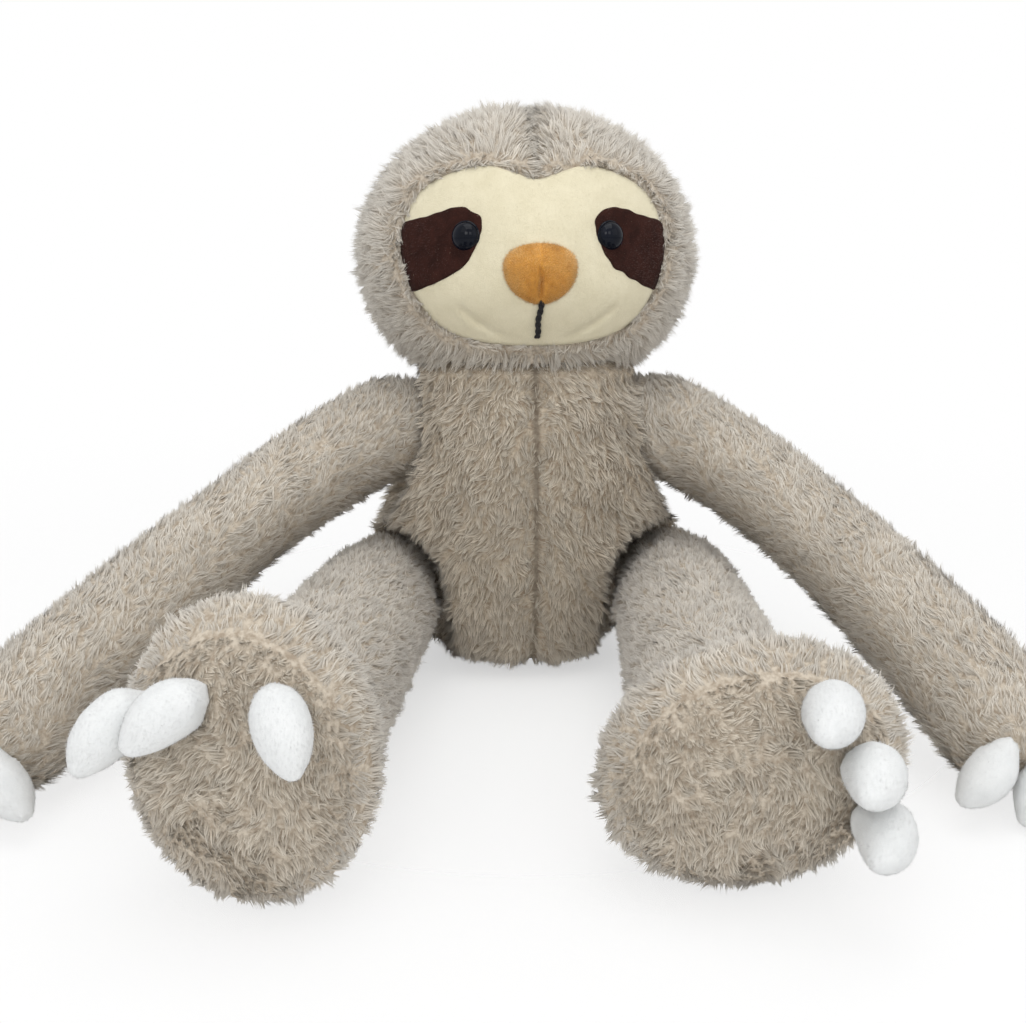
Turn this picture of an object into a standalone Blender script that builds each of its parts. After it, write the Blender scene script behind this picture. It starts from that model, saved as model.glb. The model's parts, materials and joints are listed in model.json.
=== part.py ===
"""Seated plush sloth with long floppy arms and legs, drawn in metres with +Z up.

The toy faces -Y, its own left side is at +X, and the origin is the middle of its seat.
Each limb is a stuffed cloth tube whose round inner end sits in a socket of the torso.
"""
import math

import bmesh
import bpy
from mathutils import Matrix, Vector
from mathutils.bvhtree import BVHTree

# Cloth, air gaps and cutting
PLUSH = 0.007
FACE_CLOTH = 0.0025
PATCH_CLOTH = 0.0012
GAP = 0.0003
SOCKET_GAP = 0.0006
NECK_GAP = 0.0008
SWEEP_GAP = 0.0022
FILLING_GAP = 0.0012
SOFT_GAP = 0.0006
FLOOR_FLAT = 0.0005
OVERRUN = 0.02
SPAN = 0.6

# Torso: a bag that swells at the belly and ends in a round neck
NECK_HEIGHT = 0.110
NECK_BALL = 0.061
TORSO_HALF_WIDTH = 0.077
TORSO_HALF_DEPTH = 0.062
SEAT_HALF_WIDTH = 0.038
SEAT_HALF_DEPTH = 0.034
TORSO_HEIGHT_SHARES = (0.03, 0.11, 0.3, 0.48, 0.65, 0.83)
TORSO_WIDTH_SHARES = (0.66, 0.82, 0.94, 0.99, 1.0, 0.93)
TORSO_DEPTH_SHARES = (0.69, 0.84, 0.95, 1.0, 1.0, 0.99)
DOME_RINGS = 6
BACK_SEAM_FRONT = 0.034
BACK_SEAM_TILT_DEG = 17.0

# Head: a wide ball with a low muzzle, standing on the neck
HEAD_RISE = 0.081
HEAD_HEIGHT = NECK_HEIGHT + HEAD_RISE
HEAD_HALF_WIDTH = 0.080
HEAD_HALF_DEPTH = 0.066
HEAD_HALF_HEIGHT = 0.0685
MUZZLE_RISE = 0.009
MUZZLE_SPREAD = 0.024
MUZZLE_DROP = 0.010

# Face: a cream panel with a peak of fur over its middle, placed from the head's middle
FACE_HALF_WIDTH = 0.0595
FACE_RISE = 0.042
FACE_DROP = 0.037
FACE_TOP = HEAD_HEIGHT + FACE_RISE
FACE_BOTTOM = HEAD_HEIGHT - FACE_DROP
PEAK_DEPTH = 0.006
FACE_OUTLINE_SHARES = (
    (0.0, 0.0), (0.42, 0.02), (0.72, 0.10), (0.91, 0.28), (1.0, 0.52), (0.97, 0.72),
    (0.83, 0.88), (0.53, 0.975), (0.22, 1.0))
EYE_SPACING = 0.060
EYE_UP = 0.011
EYE_HEIGHT = HEAD_HEIGHT + EYE_UP
EYE_RADIUS = 0.006
EYE_RISE = 0.0045
EYE_STEM_RADIUS = 0.002
EYE_STEM_LENGTH = 0.011
WASHER_RADIUS = 0.0055
WASHER_THICK = 0.001
EYE_SEAT = 0.0006
WASHER_SEAT = 0.0013
PATCH_LENGTH = 0.043
PATCH_HEIGHT = 0.036
PATCH_INNER_X = 0.0235
PATCH_RISE = 0.0115
PATCH_TOP = EYE_HEIGHT + PATCH_RISE
PATCH_OUTLINE_SHARES = (
    (0.0, 0.22), (0.06, 0.05), (0.24, 0.0), (0.52, 0.10), (0.98, 0.27), (1.0, 0.62), (0.90, 0.97),
    (0.74, 1.0), (0.46, 0.86), (0.15, 0.62))
NOSE_HALF_WIDTH = 0.016
NOSE_HALF_HEIGHT = 0.0135
NOSE_RISE = 0.0065
NOSE_DOWN = 0.003
NOSE_HEIGHT = HEAD_HEIGHT - NOSE_DOWN
MOUTH_DROP = 0.001
MOUTH_LENGTH = 0.0155
MOUTH_TOP = NOSE_HEIGHT - NOSE_HALF_HEIGHT + MOUTH_DROP
MOUTH_BOTTOM = MOUTH_TOP - MOUTH_LENGTH
THREAD_RADIUS = 0.0009
STITCH_LIFT = 0.0003

# Limbs: pivots, the far ends of their middle lines, and their thickness
SHOULDER_SET_IN = 0.012
SHOULDER_RISE = 0.002
SHOULDER_X = TORSO_HALF_WIDTH - SHOULDER_SET_IN
SHOULDER_Y = -0.004
SHOULDER_Z = NECK_HEIGHT + SHOULDER_RISE
ARM_ROOT_RADIUS = 0.0275
ARM_WAIST_RADIUS = 0.0250
HAND_RADIUS = 0.0280
HAND_CENTRE_Z = HAND_RADIUS - FLOOR_FLAT
THIGH_RADIUS = 0.0320
ANKLE_RADIUS = 0.0355
THIGH_PROUD = 0.026
THIGH_CLEARANCE = 0.001
HIP_X = TORSO_HALF_WIDTH + THIGH_PROUD - THIGH_RADIUS
HIP_Y = -0.020
HIP_Z = THIGH_RADIUS + THIGH_CLEARANCE
FOOT_HALF_LENGTH = 0.054
FOOT_HALF_WIDTH = 0.044
FOOT_HALF_THICK = 0.0310
SOLE_SEAM_SHARE = 0.42
TURNING_HOLE = 0.013
LIMB_RINGS = 9
HIP_LIFT_DEG = 10.0
HIP_DROP_DEG = 85.0
CARVE_REACH = 0.085
ARM_LEAN_SPARE_DEG = 6.4

# Each arm bends forward to its hand: (x, y) steps from the shoulder to the bend and to the hand
LEFT_ARM_BEND = (0.057, -0.036)
LEFT_HAND = (0.100, -0.161)
RIGHT_ARM_BEND = (-0.059, -0.022)
RIGHT_HAND = (-0.138, -0.136)
THIGH_TOP = HIP_Z + THIGH_RADIUS
ARM_BEND_SHARE = 0.5
ARM_BEND_DROP = (SHOULDER_Z - THIGH_TOP) * (1 - ARM_BEND_SHARE)

# Each leg runs to an ankle and a turned foot: the step from hip to ankle, and (x, y) on to the foot
LEFT_LEG = (-0.021, -0.186, 0.009)
LEFT_FOOT_STEP = (0.002, -0.016)
LEFT_TOE_TURN_DEG = -71.0
RIGHT_LEG = (-0.0305, -0.184, 0.010)
RIGHT_FOOT_STEP = (-0.0025, -0.015)
RIGHT_TOE_TURN_DEG = 4.0
FOOT_SINK = 0.0012

# Claws: stuffed fleece horns with a bent point
CLAW_LENGTH = 0.025
CLAW_RADIUS = 0.0074
CLAW_TIP_RADIUS = 0.0035
CLAW_BEND = 0.006
CLAW_ROOT_DEPTH = 0.005
CLAW_RINGS = 5
CLAW_KNEE_SHARE = 0.6
CLAW_RADIUS_SHARES = (0.86, 1.0, 1.0, 0.86)
HAND_CLAW_SPREADS_DEG = (-44.0, -4.0, 36.0)
HAND_CLAW_RISE = 0.0100
HAND_CLAW_AHEAD_SHARE = 0.75
HAND_CLAW_INWARD_SHARE = -0.35

# Claw roots and aims on a foot, as shares across, towards the toes, and out of the sole
RIGHT_CLAW_SHARES = (((-0.54, 0.48, 0.66), (-0.70, -0.40, 0.60)),
                     ((-0.08, 0.54, 0.74), (-0.80, -0.22, 0.62)),
                     ((0.34, 0.52, 0.72), (0.38, -0.50, 0.68)))
LEFT_CLAW_SHARES = (((-0.50, 0.54, 0.62), (0.0, -0.05, 1.0)), ((0.0, 0.66, 0.62), (0.0, -0.05, 1.0)),
                    ((0.46, 0.62, 0.60), (0.0, -0.05, 1.0)))

# Polygon counts
TORSO_SIDES = 24
HEAD_SIDES = 24
HEAD_RINGS = 16
LINING_SIDES = 16
LINING_RINGS = 11
LIMB_BEVEL = 5
CLAW_BEVEL = 2
ROUND_SIDES = 24
ROUND_RINGS = 16
SOCKET_STOPS = 7
SWEEP_STEPS = 8
STITCH_POINTS = 5
ROUND_END_ANGLES = (14.0, 34.0, 53.0, 72.0)

# Finishes: base colour, roughness, metallic
FUR = ((0.45, 0.38, 0.32, 1.0), 0.95, 0.0)
SOLE_FUR = ((0.40, 0.33, 0.27, 1.0), 0.95, 0.0)
CREAM = ((0.86, 0.80, 0.62, 1.0), 0.9, 0.0)
BROWN = ((0.05, 0.015, 0.010, 1.0), 0.9, 0.0)
CARAMEL = ((0.62, 0.25, 0.06, 1.0), 0.9, 0.0)
FLEECE = ((0.86, 0.87, 0.88, 1.0), 0.95, 0.0)
THREAD = ((0.01, 0.01, 0.012, 1.0), 0.7, 0.0)
EYE_GLOSS = ((0.006, 0.008, 0.016, 1.0), 0.08, 0.0)
WASHER_PLASTIC = ((0.8, 0.8, 0.78, 1.0), 0.5, 0.0)
STUFFING = ((0.90, 0.90, 0.88, 1.0), 1.0, 0.0)

for old in list(bpy.data.objects):
    bpy.data.objects.remove(old, do_unlink=True)

parts = bpy.data.collections.new("plush_sloth")
cutters = bpy.data.collections.new("cutters")
bpy.context.scene.collection.children.link(parts)
bpy.context.scene.collection.children.link(cutters)


def make_material(name, finish):
    """Give each piece a Principled material of its own."""
    colour, roughness, metallic = finish
    material = bpy.data.materials.new(name)
    material.use_nodes = True
    shader = material.node_tree.nodes["Principled BSDF"]
    shader.inputs["Base Color"].default_value = colour
    shader.inputs["Roughness"].default_value = roughness
    shader.inputs["Metallic"].default_value = metallic
    material.diffuse_color = colour
    return material


def add_mesh(name, mesh, finish=None):
    """Link a mesh as a finished piece, or as a hidden cutter when it has no finish."""
    thing = bpy.data.objects.new(name, mesh)
    if finish is None:
        cutters.objects.link(thing)
        thing.hide_render = True
        thing.display_type = 'WIRE'
    else:
        parts.objects.link(thing)
        mesh.materials.clear()
        mesh.materials.append(make_material(name, finish))
        mesh.shade_smooth()
    return thing


def mesh_from(shape, name):
    """Turn a bmesh into a mesh with its faces pointing out."""
    bmesh.ops.recalc_face_normals(shape, faces=shape.faces)
    mesh = bpy.data.meshes.new(name)
    shape.to_mesh(mesh)
    shape.free()
    return mesh


def cut(piece, cutter, operation='DIFFERENCE'):
    """Add one exact Boolean to a piece."""
    step = piece.modifiers.new(operation.lower(), 'BOOLEAN')
    step.operation = operation
    step.object = cutter
    step.solver = 'EXACT'


def baked(thing, name, finish=None):
    """Apply a piece's modifiers, and return it as a plain mesh object."""
    bpy.context.view_layer.update()
    seen = thing.evaluated_get(bpy.context.evaluated_depsgraph_get())
    mesh = bpy.data.meshes.new_from_object(seen)
    mesh.name = name
    bpy.data.objects.remove(thing, do_unlink=True)
    return add_mesh(name, mesh, finish)


def loft(rings, name):
    """Join closed rings of equal count into a solid with a flat cap at each end."""
    shape = bmesh.new()
    loops = [[shape.verts.new(point) for point in ring] for ring in rings]
    count = len(loops[0])
    for lower, upper in zip(loops, loops[1:]):
        for i in range(count):
            j = (i + 1) % count
            shape.faces.new((lower[i], lower[j], upper[j]))
            shape.faces.new((lower[i], upper[j], upper[i]))
    shape.faces.new(loops[0])
    shape.faces.new(loops[-1])
    return mesh_from(shape, name)


def oval(half_width, half_depth, height, sides):
    """A level ring around the toy's middle line."""
    turns = [2 * math.pi * i / sides for i in range(sides)]
    return [(half_width * math.cos(t), half_depth * math.sin(t), height) for t in turns]


def torso_form(inset, sides, name):
    """The torso bag, drawn in from its outer surface by an inset."""
    start = inset - FLOOR_FLAT
    rings = [oval(SEAT_HALF_WIDTH - inset, SEAT_HALF_DEPTH - inset, start, sides)]
    levels = zip(TORSO_HEIGHT_SHARES, TORSO_WIDTH_SHARES, TORSO_DEPTH_SHARES)
    for height_share, width_share, depth_share in levels:
        height = start + height_share * (NECK_HEIGHT - start)
        half_width = TORSO_HALF_WIDTH * width_share - inset
        half_depth = TORSO_HALF_DEPTH * depth_share - inset
        rings.append(oval(half_width, half_depth, height, sides))
    radius = NECK_BALL - inset
    for i in range(DOME_RINGS):
        rise = math.pi / 2 * i / DOME_RINGS
        spread = radius * math.cos(rise)
        rings.append(oval(spread, spread, NECK_HEIGHT + radius * math.sin(rise), sides))
    return loft(rings, name)


def ball_shape(half_sizes, place, sides, rings):
    """An ellipsoid as a bmesh, placed by a matrix."""
    shape = bmesh.new()
    bmesh.ops.create_uvsphere(shape, u_segments=sides, v_segments=rings, radius=1.0)
    half_facet = Matrix.Rotation(math.pi / sides, 3, 'Z')
    bmesh.ops.rotate(shape, matrix=half_facet, verts=shape.verts)
    bmesh.ops.scale(shape, vec=half_sizes, verts=shape.verts)
    bmesh.ops.transform(shape, matrix=place, verts=shape.verts)
    return shape


def head_form(inset, sides, rings, name):
    """The head, with a muzzle pushed out of its front below the middle."""
    half_sizes = (HEAD_HALF_WIDTH - inset, HEAD_HALF_DEPTH - inset, HEAD_HALF_HEIGHT - inset)
    shape = ball_shape(half_sizes, Matrix.Translation((0, 0, HEAD_HEIGHT)), sides, rings)
    for vert in shape.verts:
        drop = vert.co.z - (HEAD_HEIGHT - MUZZLE_DROP)
        reach = (vert.co.x ** 2 + drop ** 2) / (2 * MUZZLE_SPREAD ** 2)
        if vert.co.y < 0:
            vert.co.y -= MUZZLE_RISE * math.exp(-reach) * min(1.0, -vert.co.y / MUZZLE_SPREAD)
    return mesh_from(shape, name)


def tube(points, radii, bevel, name):
    """A round tube with its own radius at each point, as a closed mesh."""
    curve = bpy.data.curves.new(name, 'CURVE')
    curve.dimensions = '3D'
    curve.bevel_depth = 1.0
    curve.bevel_resolution = bevel
    curve.use_fill_caps = True
    line = curve.splines.new('POLY')
    line.points.add(len(points) - 1)
    for knot, point, radius in zip(line.points, points, radii):
        knot.co = (*point, 1.0)
        knot.radius = radius
    holder = bpy.data.objects.new(name, curve)
    cutters.objects.link(holder)
    bpy.context.view_layer.update()
    seen = holder.evaluated_get(bpy.context.evaluated_depsgraph_get())
    shape = bmesh.new()
    shape.from_mesh(bpy.data.meshes.new_from_object(seen))
    bpy.data.objects.remove(holder, do_unlink=True)
    bmesh.ops.remove_doubles(shape, verts=shape.verts, dist=GAP / 10)
    return mesh_from(shape, name)


def round_ended(points, radii):
    """Add a half ball to each end of a line of points with radii."""
    turns = [math.radians(angle) for angle in ROUND_END_ANGLES]
    first = (points[0] - points[1]).normalized()
    last = (points[-1] - points[-2]).normalized()
    head = [(points[0] + first * radii[0] * math.cos(t), radii[0] * math.sin(t)) for t in turns]
    tail = [(points[-1] + last * radii[-1] * math.cos(t), radii[-1] * math.sin(t)) for t in turns]
    steps = head + list(zip(points, radii)) + tail[::-1]
    return [point for point, radius in steps], [radius for point, radius in steps]


def bent_line(start, bend, end, count):
    """Points along a curve that leaves its start towards the bend and arrives from it."""
    steps = [i / (count - 1) for i in range(count)]
    return [start * (1 - t) ** 2 + bend * 2 * t * (1 - t) + end * t ** 2 for t in steps]


def blend(low, high, count):
    """Evenly spaced values from low to high."""
    return [low + (high - low) * i / (count - 1) for i in range(count)]


def box(low, high, name):
    """A cutter block between two corners."""
    shape = bmesh.new()
    bmesh.ops.create_cube(shape, size=1.0)
    size = Vector(high) - Vector(low)
    bmesh.ops.scale(shape, vec=size, verts=shape.verts)
    bmesh.ops.translate(shape, vec=Vector(low) + size / 2, verts=shape.verts)
    return add_mesh(name, mesh_from(shape, name))


def rod(centre, direction, radius, length, name, finish=None):
    """A cylinder about a centre, lying along a direction."""
    shape = bmesh.new()
    bmesh.ops.create_cone(shape, cap_ends=True, segments=ROUND_SIDES, radius1=radius,
                          radius2=radius, depth=length)
    turn = Vector(direction).to_track_quat('Z', 'Y').to_matrix().to_4x4()
    bmesh.ops.transform(shape, matrix=Matrix.Translation(centre) @ turn, verts=shape.verts)
    return add_mesh(name, mesh_from(shape, name), finish)


def prism(outline, near, far, name):
    """An outline in X and Z, run along Y."""
    shape = bmesh.new()
    face = shape.faces.new([shape.verts.new((x, near, z)) for x, z in outline])
    grown = bmesh.ops.extrude_face_region(shape, geom=[face])
    moved = [item for item in grown["geom"] if isinstance(item, bmesh.types.BMVert)]
    bmesh.ops.translate(shape, vec=(0, far - near, 0), verts=moved)
    return add_mesh(name, mesh_from(shape, name))


def shrunk(outline, margin):
    """Draw a closed outline in by a margin, along the normal at each point."""
    area = sum(a[0] * b[1] - b[0] * a[1] for a, b in zip(outline, outline[1:] + outline[:1]))
    side = 1 if area > 0 else -1
    result = []
    for before, here, after in zip(outline[-1:] + outline[:-1], outline, outline[1:] + outline[:1]):
        along = (Vector(after) - Vector(before)).normalized()
        result.append((here[0] - side * along.y * margin, here[1] + side * along.x * margin))
    return result


def shell(outer, inner, name, finish):
    """Cloth between two forms."""
    piece = add_mesh(name + "_outer", outer)
    cut(piece, add_mesh(name + "_lining", inner))
    return baked(piece, name, finish)


# The floor presses flat everything that rests on it
floor = box((-SPAN, -SPAN, -SPAN), (SPAN, SPAN, 0), "floor")


def limb_skin_and_filling(name, forms, pivot, side):
    """A limb's cloth with its turning hole at the inner end, and the filling inside it."""
    outer, lining, filling = forms
    skin = add_mesh(name + "_skin_outer", outer)
    cut(skin, add_mesh(name + "_skin_lining", lining))
    hole = pivot - Vector((side * ARM_ROOT_RADIUS, 0, 0))
    cut(skin, rod(hole, (1, 0, 0), TURNING_HOLE, 2 * ARM_ROOT_RADIUS, name + "_turning_hole"))
    cut(skin, floor)
    return skin, add_mesh(name + "_stuffing", filling, STUFFING)


def claw_mesh(root, direction, bend_direction, name):
    """A horn of fleece that leaves its root along a direction and bends over."""
    direction = direction.normalized()
    over = bend_direction - direction * bend_direction.dot(direction)
    tip = root + direction * CLAW_LENGTH + over.normalized() * CLAW_BEND
    knee = root + direction * CLAW_LENGTH * CLAW_KNEE_SHARE
    points = bent_line(root - direction * CLAW_ROOT_DEPTH, knee, tip, CLAW_RINGS)
    radii = [CLAW_RADIUS * share for share in CLAW_RADIUS_SHARES] + [CLAW_TIP_RADIUS]
    return tube(*round_ended(points, radii), CLAW_BEVEL, name)


def arm_form(line, inset, name):
    """An arm around its middle line."""
    upper = blend(ARM_ROOT_RADIUS, ARM_WAIST_RADIUS, len(line) // 2 + 1)
    lower = blend(ARM_WAIST_RADIUS, HAND_RADIUS, len(line) - len(line) // 2)
    radii = [radius - inset for radius in upper + lower[1:]]
    return tube(*round_ended(line, radii), LIMB_BEVEL, name)


def make_arm(name, side, bend_step, hand_step):
    """One arm with its cloth, filling and three claws, at its rest place."""
    shoulder = Vector((side * SHOULDER_X, SHOULDER_Y, SHOULDER_Z))
    hand = shoulder + Vector((*hand_step, HAND_CENTRE_Z - SHOULDER_Z))
    bend = shoulder + Vector((*bend_step, -ARM_BEND_DROP))
    line = bent_line(shoulder, bend, hand, LIMB_RINGS)
    insets = (0, PLUSH, PLUSH + SOFT_GAP)
    forms = [arm_form(line, inset, name) for inset in insets]
    skin, filling = limb_skin_and_filling(name, forms, shoulder, side)
    ahead = (line[-1] - line[-2]).normalized()
    down = (Vector((0, 0, -1)) + ahead * ahead.z).normalized()
    across = ahead.cross(down)
    inward = across * -side
    limb = add_mesh(name + "_seat_for_claws", arm_form(line, -GAP, name))
    pieces = [baked(skin, name + "_skin", FUR), filling]
    for number, spread in enumerate(HAND_CLAW_SPREADS_DEG, 1):
        turn = math.radians(spread)
        outward = ahead * math.cos(turn) + across * math.sin(turn)
        root = hand + outward * (HAND_RADIUS - CLAW_ROOT_DEPTH) - down * HAND_CLAW_RISE
        aim = outward * HAND_CLAW_AHEAD_SHARE - inward * HAND_CLAW_INWARD_SHARE + down
        pieces.append(make_claw(f"{name}_claw_{number}", root, aim, inward, limb))
    return pieces


def make_claw(name, root, aim, over, limb):
    """A claw trimmed to the cloth that it is sewn to."""
    claw = add_mesh(name + "_whole", claw_mesh(root, aim, over, name))
    cut(claw, limb)
    return baked(claw, name, FLEECE)


def foot_place(ankle, hip, foot_step, toe_turn):
    """Place of a foot that stands on the floor: across, towards the toes, and out of the sole."""
    sole = (ankle - hip).normalized()
    upright = (Vector((0, 0, 1)) - sole * sole.z).normalized()
    toes = Matrix.Rotation(math.radians(toe_turn), 3, sole) @ upright
    across = toes.cross(sole)
    turn = Matrix((across, toes, sole)).transposed().to_4x4()
    reach = Vector((FOOT_HALF_WIDTH * across.z, FOOT_HALF_LENGTH * toes.z, FOOT_HALF_THICK * sole.z))
    centre = Vector((ankle.x + foot_step[0], ankle.y + foot_step[1], reach.length - FOOT_SINK))
    return Matrix.Translation(centre) @ turn


def leg_form(hip, ankle, place, inset, name):
    """A tapering leg joined to its thick oval foot."""
    line = [hip.lerp(ankle, i / (LIMB_RINGS - 1)) for i in range(LIMB_RINGS)]
    radii = [radius - inset for radius in blend(THIGH_RADIUS, ANKLE_RADIUS, len(line))]
    leg = add_mesh(name + "_tube", tube(*round_ended(line, radii), LIMB_BEVEL, name))
    half_sizes = (FOOT_HALF_WIDTH - inset, FOOT_HALF_LENGTH - inset, FOOT_HALF_THICK - inset)
    foot = mesh_from(ball_shape(half_sizes, place, LINING_SIDES, LINING_RINGS), name)
    cut(leg, add_mesh(name + "_foot", foot), 'UNION')
    return baked(leg, name + "_form").data


def make_leg(name, side, leg_step, foot_step, toe_turn, claw_shares):
    """One leg with its cloth, sole, filling and three claws, at its rest place."""
    hip = Vector((side * HIP_X, HIP_Y, HIP_Z))
    ankle = hip + Vector(leg_step)
    place = foot_place(ankle, hip, foot_step, toe_turn)
    forms = [leg_form(hip, ankle, place, inset, name) for inset in (0, PLUSH, PLUSH + SOFT_GAP)]
    skin, filling = limb_skin_and_filling(name, forms, hip, side)
    seam = FOOT_HALF_THICK * SOLE_SEAM_SHARE
    sole_block = box((-SPAN, -SPAN, seam), (SPAN, SPAN, SPAN), name + "_sole_block")
    rest_block = box((-SPAN, -SPAN, -SPAN), (SPAN, SPAN, seam + GAP), name + "_rest_block")
    sole_block.matrix_world = place
    rest_block.matrix_world = place
    whole = baked(skin, name + "_whole_skin")
    pieces = []
    for label, block in (("_skin", sole_block), ("_sole_panel", rest_block)):
        panel = add_mesh(name + label + "_cut", whole.data.copy())
        cut(panel, block)
        pieces.append(baked(panel, name + label, FUR if block is sole_block else SOLE_FUR))
    pieces.append(filling)
    limb = add_mesh(name + "_seat_for_claws", leg_form(hip, ankle, place, -GAP, name))
    for number, (root_shares, aim_shares) in enumerate(claw_shares, 1):
        half_sizes = Vector((FOOT_HALF_WIDTH, FOOT_HALF_LENGTH, FOOT_HALF_THICK))
        root = place @ Vector([share * size for share, size in zip(root_shares, half_sizes)])
        aim = place.to_3x3() @ Vector(aim_shares)
        over = place.to_3x3() @ Vector((0, -1, 0))
        pieces.append(make_claw(f"{name}_claw_{number}", root, aim, over, limb))
    return pieces


def shoulder_carve(side, name):
    """Room for an arm's round end: a ball that flares as the cone that the steeper arm sweeps."""
    radius = ARM_ROOT_RADIUS + SOCKET_GAP
    leans = [math.atan2(math.hypot(y, ARM_BEND_DROP), abs(x)) for x, y in (LEFT_ARM_BEND, RIGHT_ARM_BEND)]
    lean = max(leans) + math.radians(ARM_LEAN_SPARE_DEG)
    start = lean + math.pi / 2
    profile = []
    for i in range(SOCKET_STOPS):
        turn = math.pi - (math.pi - start) * i / (SOCKET_STOPS - 1)
        profile.append((radius * math.cos(turn), radius * math.sin(turn)))
    edge_x, edge_r = profile[-1]
    profile.append((edge_x + CARVE_REACH * math.cos(lean), edge_r + CARVE_REACH * math.sin(lean)))
    profile.append((profile[-1][0], 0))
    centre = Vector((side * SHOULDER_X, SHOULDER_Y, SHOULDER_Z))
    shape = bmesh.new()
    verts = [shape.verts.new((side * x + centre.x, centre.y, r + centre.z)) for x, r in profile]
    for a, b in zip(verts, verts[1:]):
        shape.edges.new((a, b))
    bmesh.ops.spin(shape, geom=shape.verts[:] + shape.edges[:], cent=centre, axis=(1, 0, 0),
                   angle=2 * math.pi, steps=ROUND_SIDES, use_duplicate=False)
    bmesh.ops.remove_doubles(shape, verts=shape.verts, dist=GAP / 10)
    return add_mesh(name, mesh_from(shape, name))


def hip_carve(side, leg_step, name):
    """Room for a thigh's round end and for the slice that the thigh sweeps."""
    hip = Vector((side * HIP_X, HIP_Y, HIP_Z))
    radius = THIGH_RADIUS + SOCKET_GAP
    aim = Vector(leg_step).normalized()
    socket = ball_shape((radius, radius, radius), Matrix.Translation(hip), ROUND_SIDES, ROUND_RINGS)
    carve = add_mesh(name + "_ball", mesh_from(socket, name))
    swept = THIGH_RADIUS + SWEEP_GAP
    half = swept / math.hypot(aim.y, aim.z)
    reach = aim * CARVE_REACH
    corners = [hip + Vector((x, 0, 0)) for x in (-half, half)]
    shape = bmesh.new()
    verts = [shape.verts.new(point) for point in
             (corners[0], corners[1], corners[1] + reach, corners[0] + reach)]
    shape.faces.new(verts)
    lift = Matrix.Rotation(math.radians(-HIP_LIFT_DEG), 3, 'X')
    bmesh.ops.rotate(shape, cent=hip, matrix=lift, verts=shape.verts)
    sweep = math.radians(HIP_LIFT_DEG + HIP_DROP_DEG)
    bmesh.ops.spin(shape, geom=shape.faces[:] + shape.edges[:] + shape.verts[:], cent=hip,
                   axis=(1, 0, 0), angle=sweep, steps=SWEEP_STEPS, use_duplicate=False)
    bmesh.ops.remove_doubles(shape, verts=shape.verts, dist=GAP / 10)
    cut(carve, add_mesh(name + "_slice", mesh_from(shape, name)), 'UNION')
    for limit in (-HIP_LIFT_DEG, HIP_DROP_DEG):
        way = Matrix.Rotation(math.radians(limit), 3, 'X') @ aim
        centre = hip + way * CARVE_REACH / 2
        cut(carve, rod(centre, way, swept, CARVE_REACH, f"{name}_{limit:.0f}"), 'UNION')
    return baked(carve, name)


neck_ball = NECK_BALL + NECK_GAP
neck_place = Matrix.Translation((0, 0, NECK_HEIGHT))
neck_carve = add_mesh("neck_carve", mesh_from(
    ball_shape((neck_ball, neck_ball, neck_ball), neck_place, ROUND_SIDES, ROUND_RINGS), "neck"))


def make_torso():
    """Three torso panels that meet at the seams, and the filling."""
    carves = [shoulder_carve(1, "left_shoulder_carve"), shoulder_carve(-1, "right_shoulder_carve"),
              hip_carve(1, LEFT_LEG, "left_hip_carve"), hip_carve(-1, RIGHT_LEG, "right_hip_carve")]
    whole = shell(torso_form(0, TORSO_SIDES, "torso"), torso_form(PLUSH, LINING_SIDES, "lining"),
                  "torso_whole", None)
    for carve in carves + [floor]:
        cut(whole, carve)
    whole = baked(whole, "torso_skin")
    tilt = Matrix.Rotation(math.radians(-BACK_SEAM_TILT_DEG), 4, 'X')
    place = Matrix.Translation((0, -BACK_SEAM_FRONT, 0)) @ tilt
    front_side = box((-SPAN, -SPAN, -SPAN), (SPAN, 0, SPAN), "front_side")
    back_side = box((-SPAN, -GAP, -SPAN), (SPAN, SPAN, SPAN), "back_side")
    front_side.matrix_world = place
    back_side.matrix_world = place
    right_side = box((-SPAN, -SPAN, -SPAN), (GAP / 2, SPAN, SPAN), "right_side")
    left_side = box((-GAP / 2, -SPAN, -SPAN), (SPAN, SPAN, SPAN), "left_side")
    panels = {"torso_back_panel": (front_side,), "torso_front_left_panel": (back_side, right_side),
              "torso_front_right_panel": (back_side, left_side)}
    pieces = []
    for name, away in panels.items():
        panel = add_mesh(name + "_cut", whole.data.copy())
        for block in away:
            cut(panel, block)
        pieces.append(baked(panel, name, FUR))
    filling = add_mesh("torso_filling", torso_form(PLUSH + SOFT_GAP, LINING_SIDES, "torso_filling"))
    for carve in carves:
        cut(filling, carve)
    pieces.append(baked(filling, "torso_stuffing", STUFFING))
    return pieces


def face_outline(margin):
    """The face panel's edge, from its shares, with both sides alike."""
    height = FACE_TOP - FACE_BOTTOM
    right = [(FACE_HALF_WIDTH * x, FACE_BOTTOM + height * z) for x, z in FACE_OUTLINE_SHARES]
    peak = (0, FACE_TOP - PEAK_DEPTH)
    left = [(-x, z) for x, z in right[:0:-1]]
    return shrunk(right + [peak] + left, margin)


def patch_outline(side, margin):
    """An eye patch's edge: blunt at the eye, with its outer end low."""
    points = [(side * (PATCH_INNER_X + PATCH_LENGTH * x), PATCH_TOP - PATCH_HEIGHT * z)
              for x, z in PATCH_OUTLINE_SHARES]
    return shrunk(points, margin)


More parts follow.
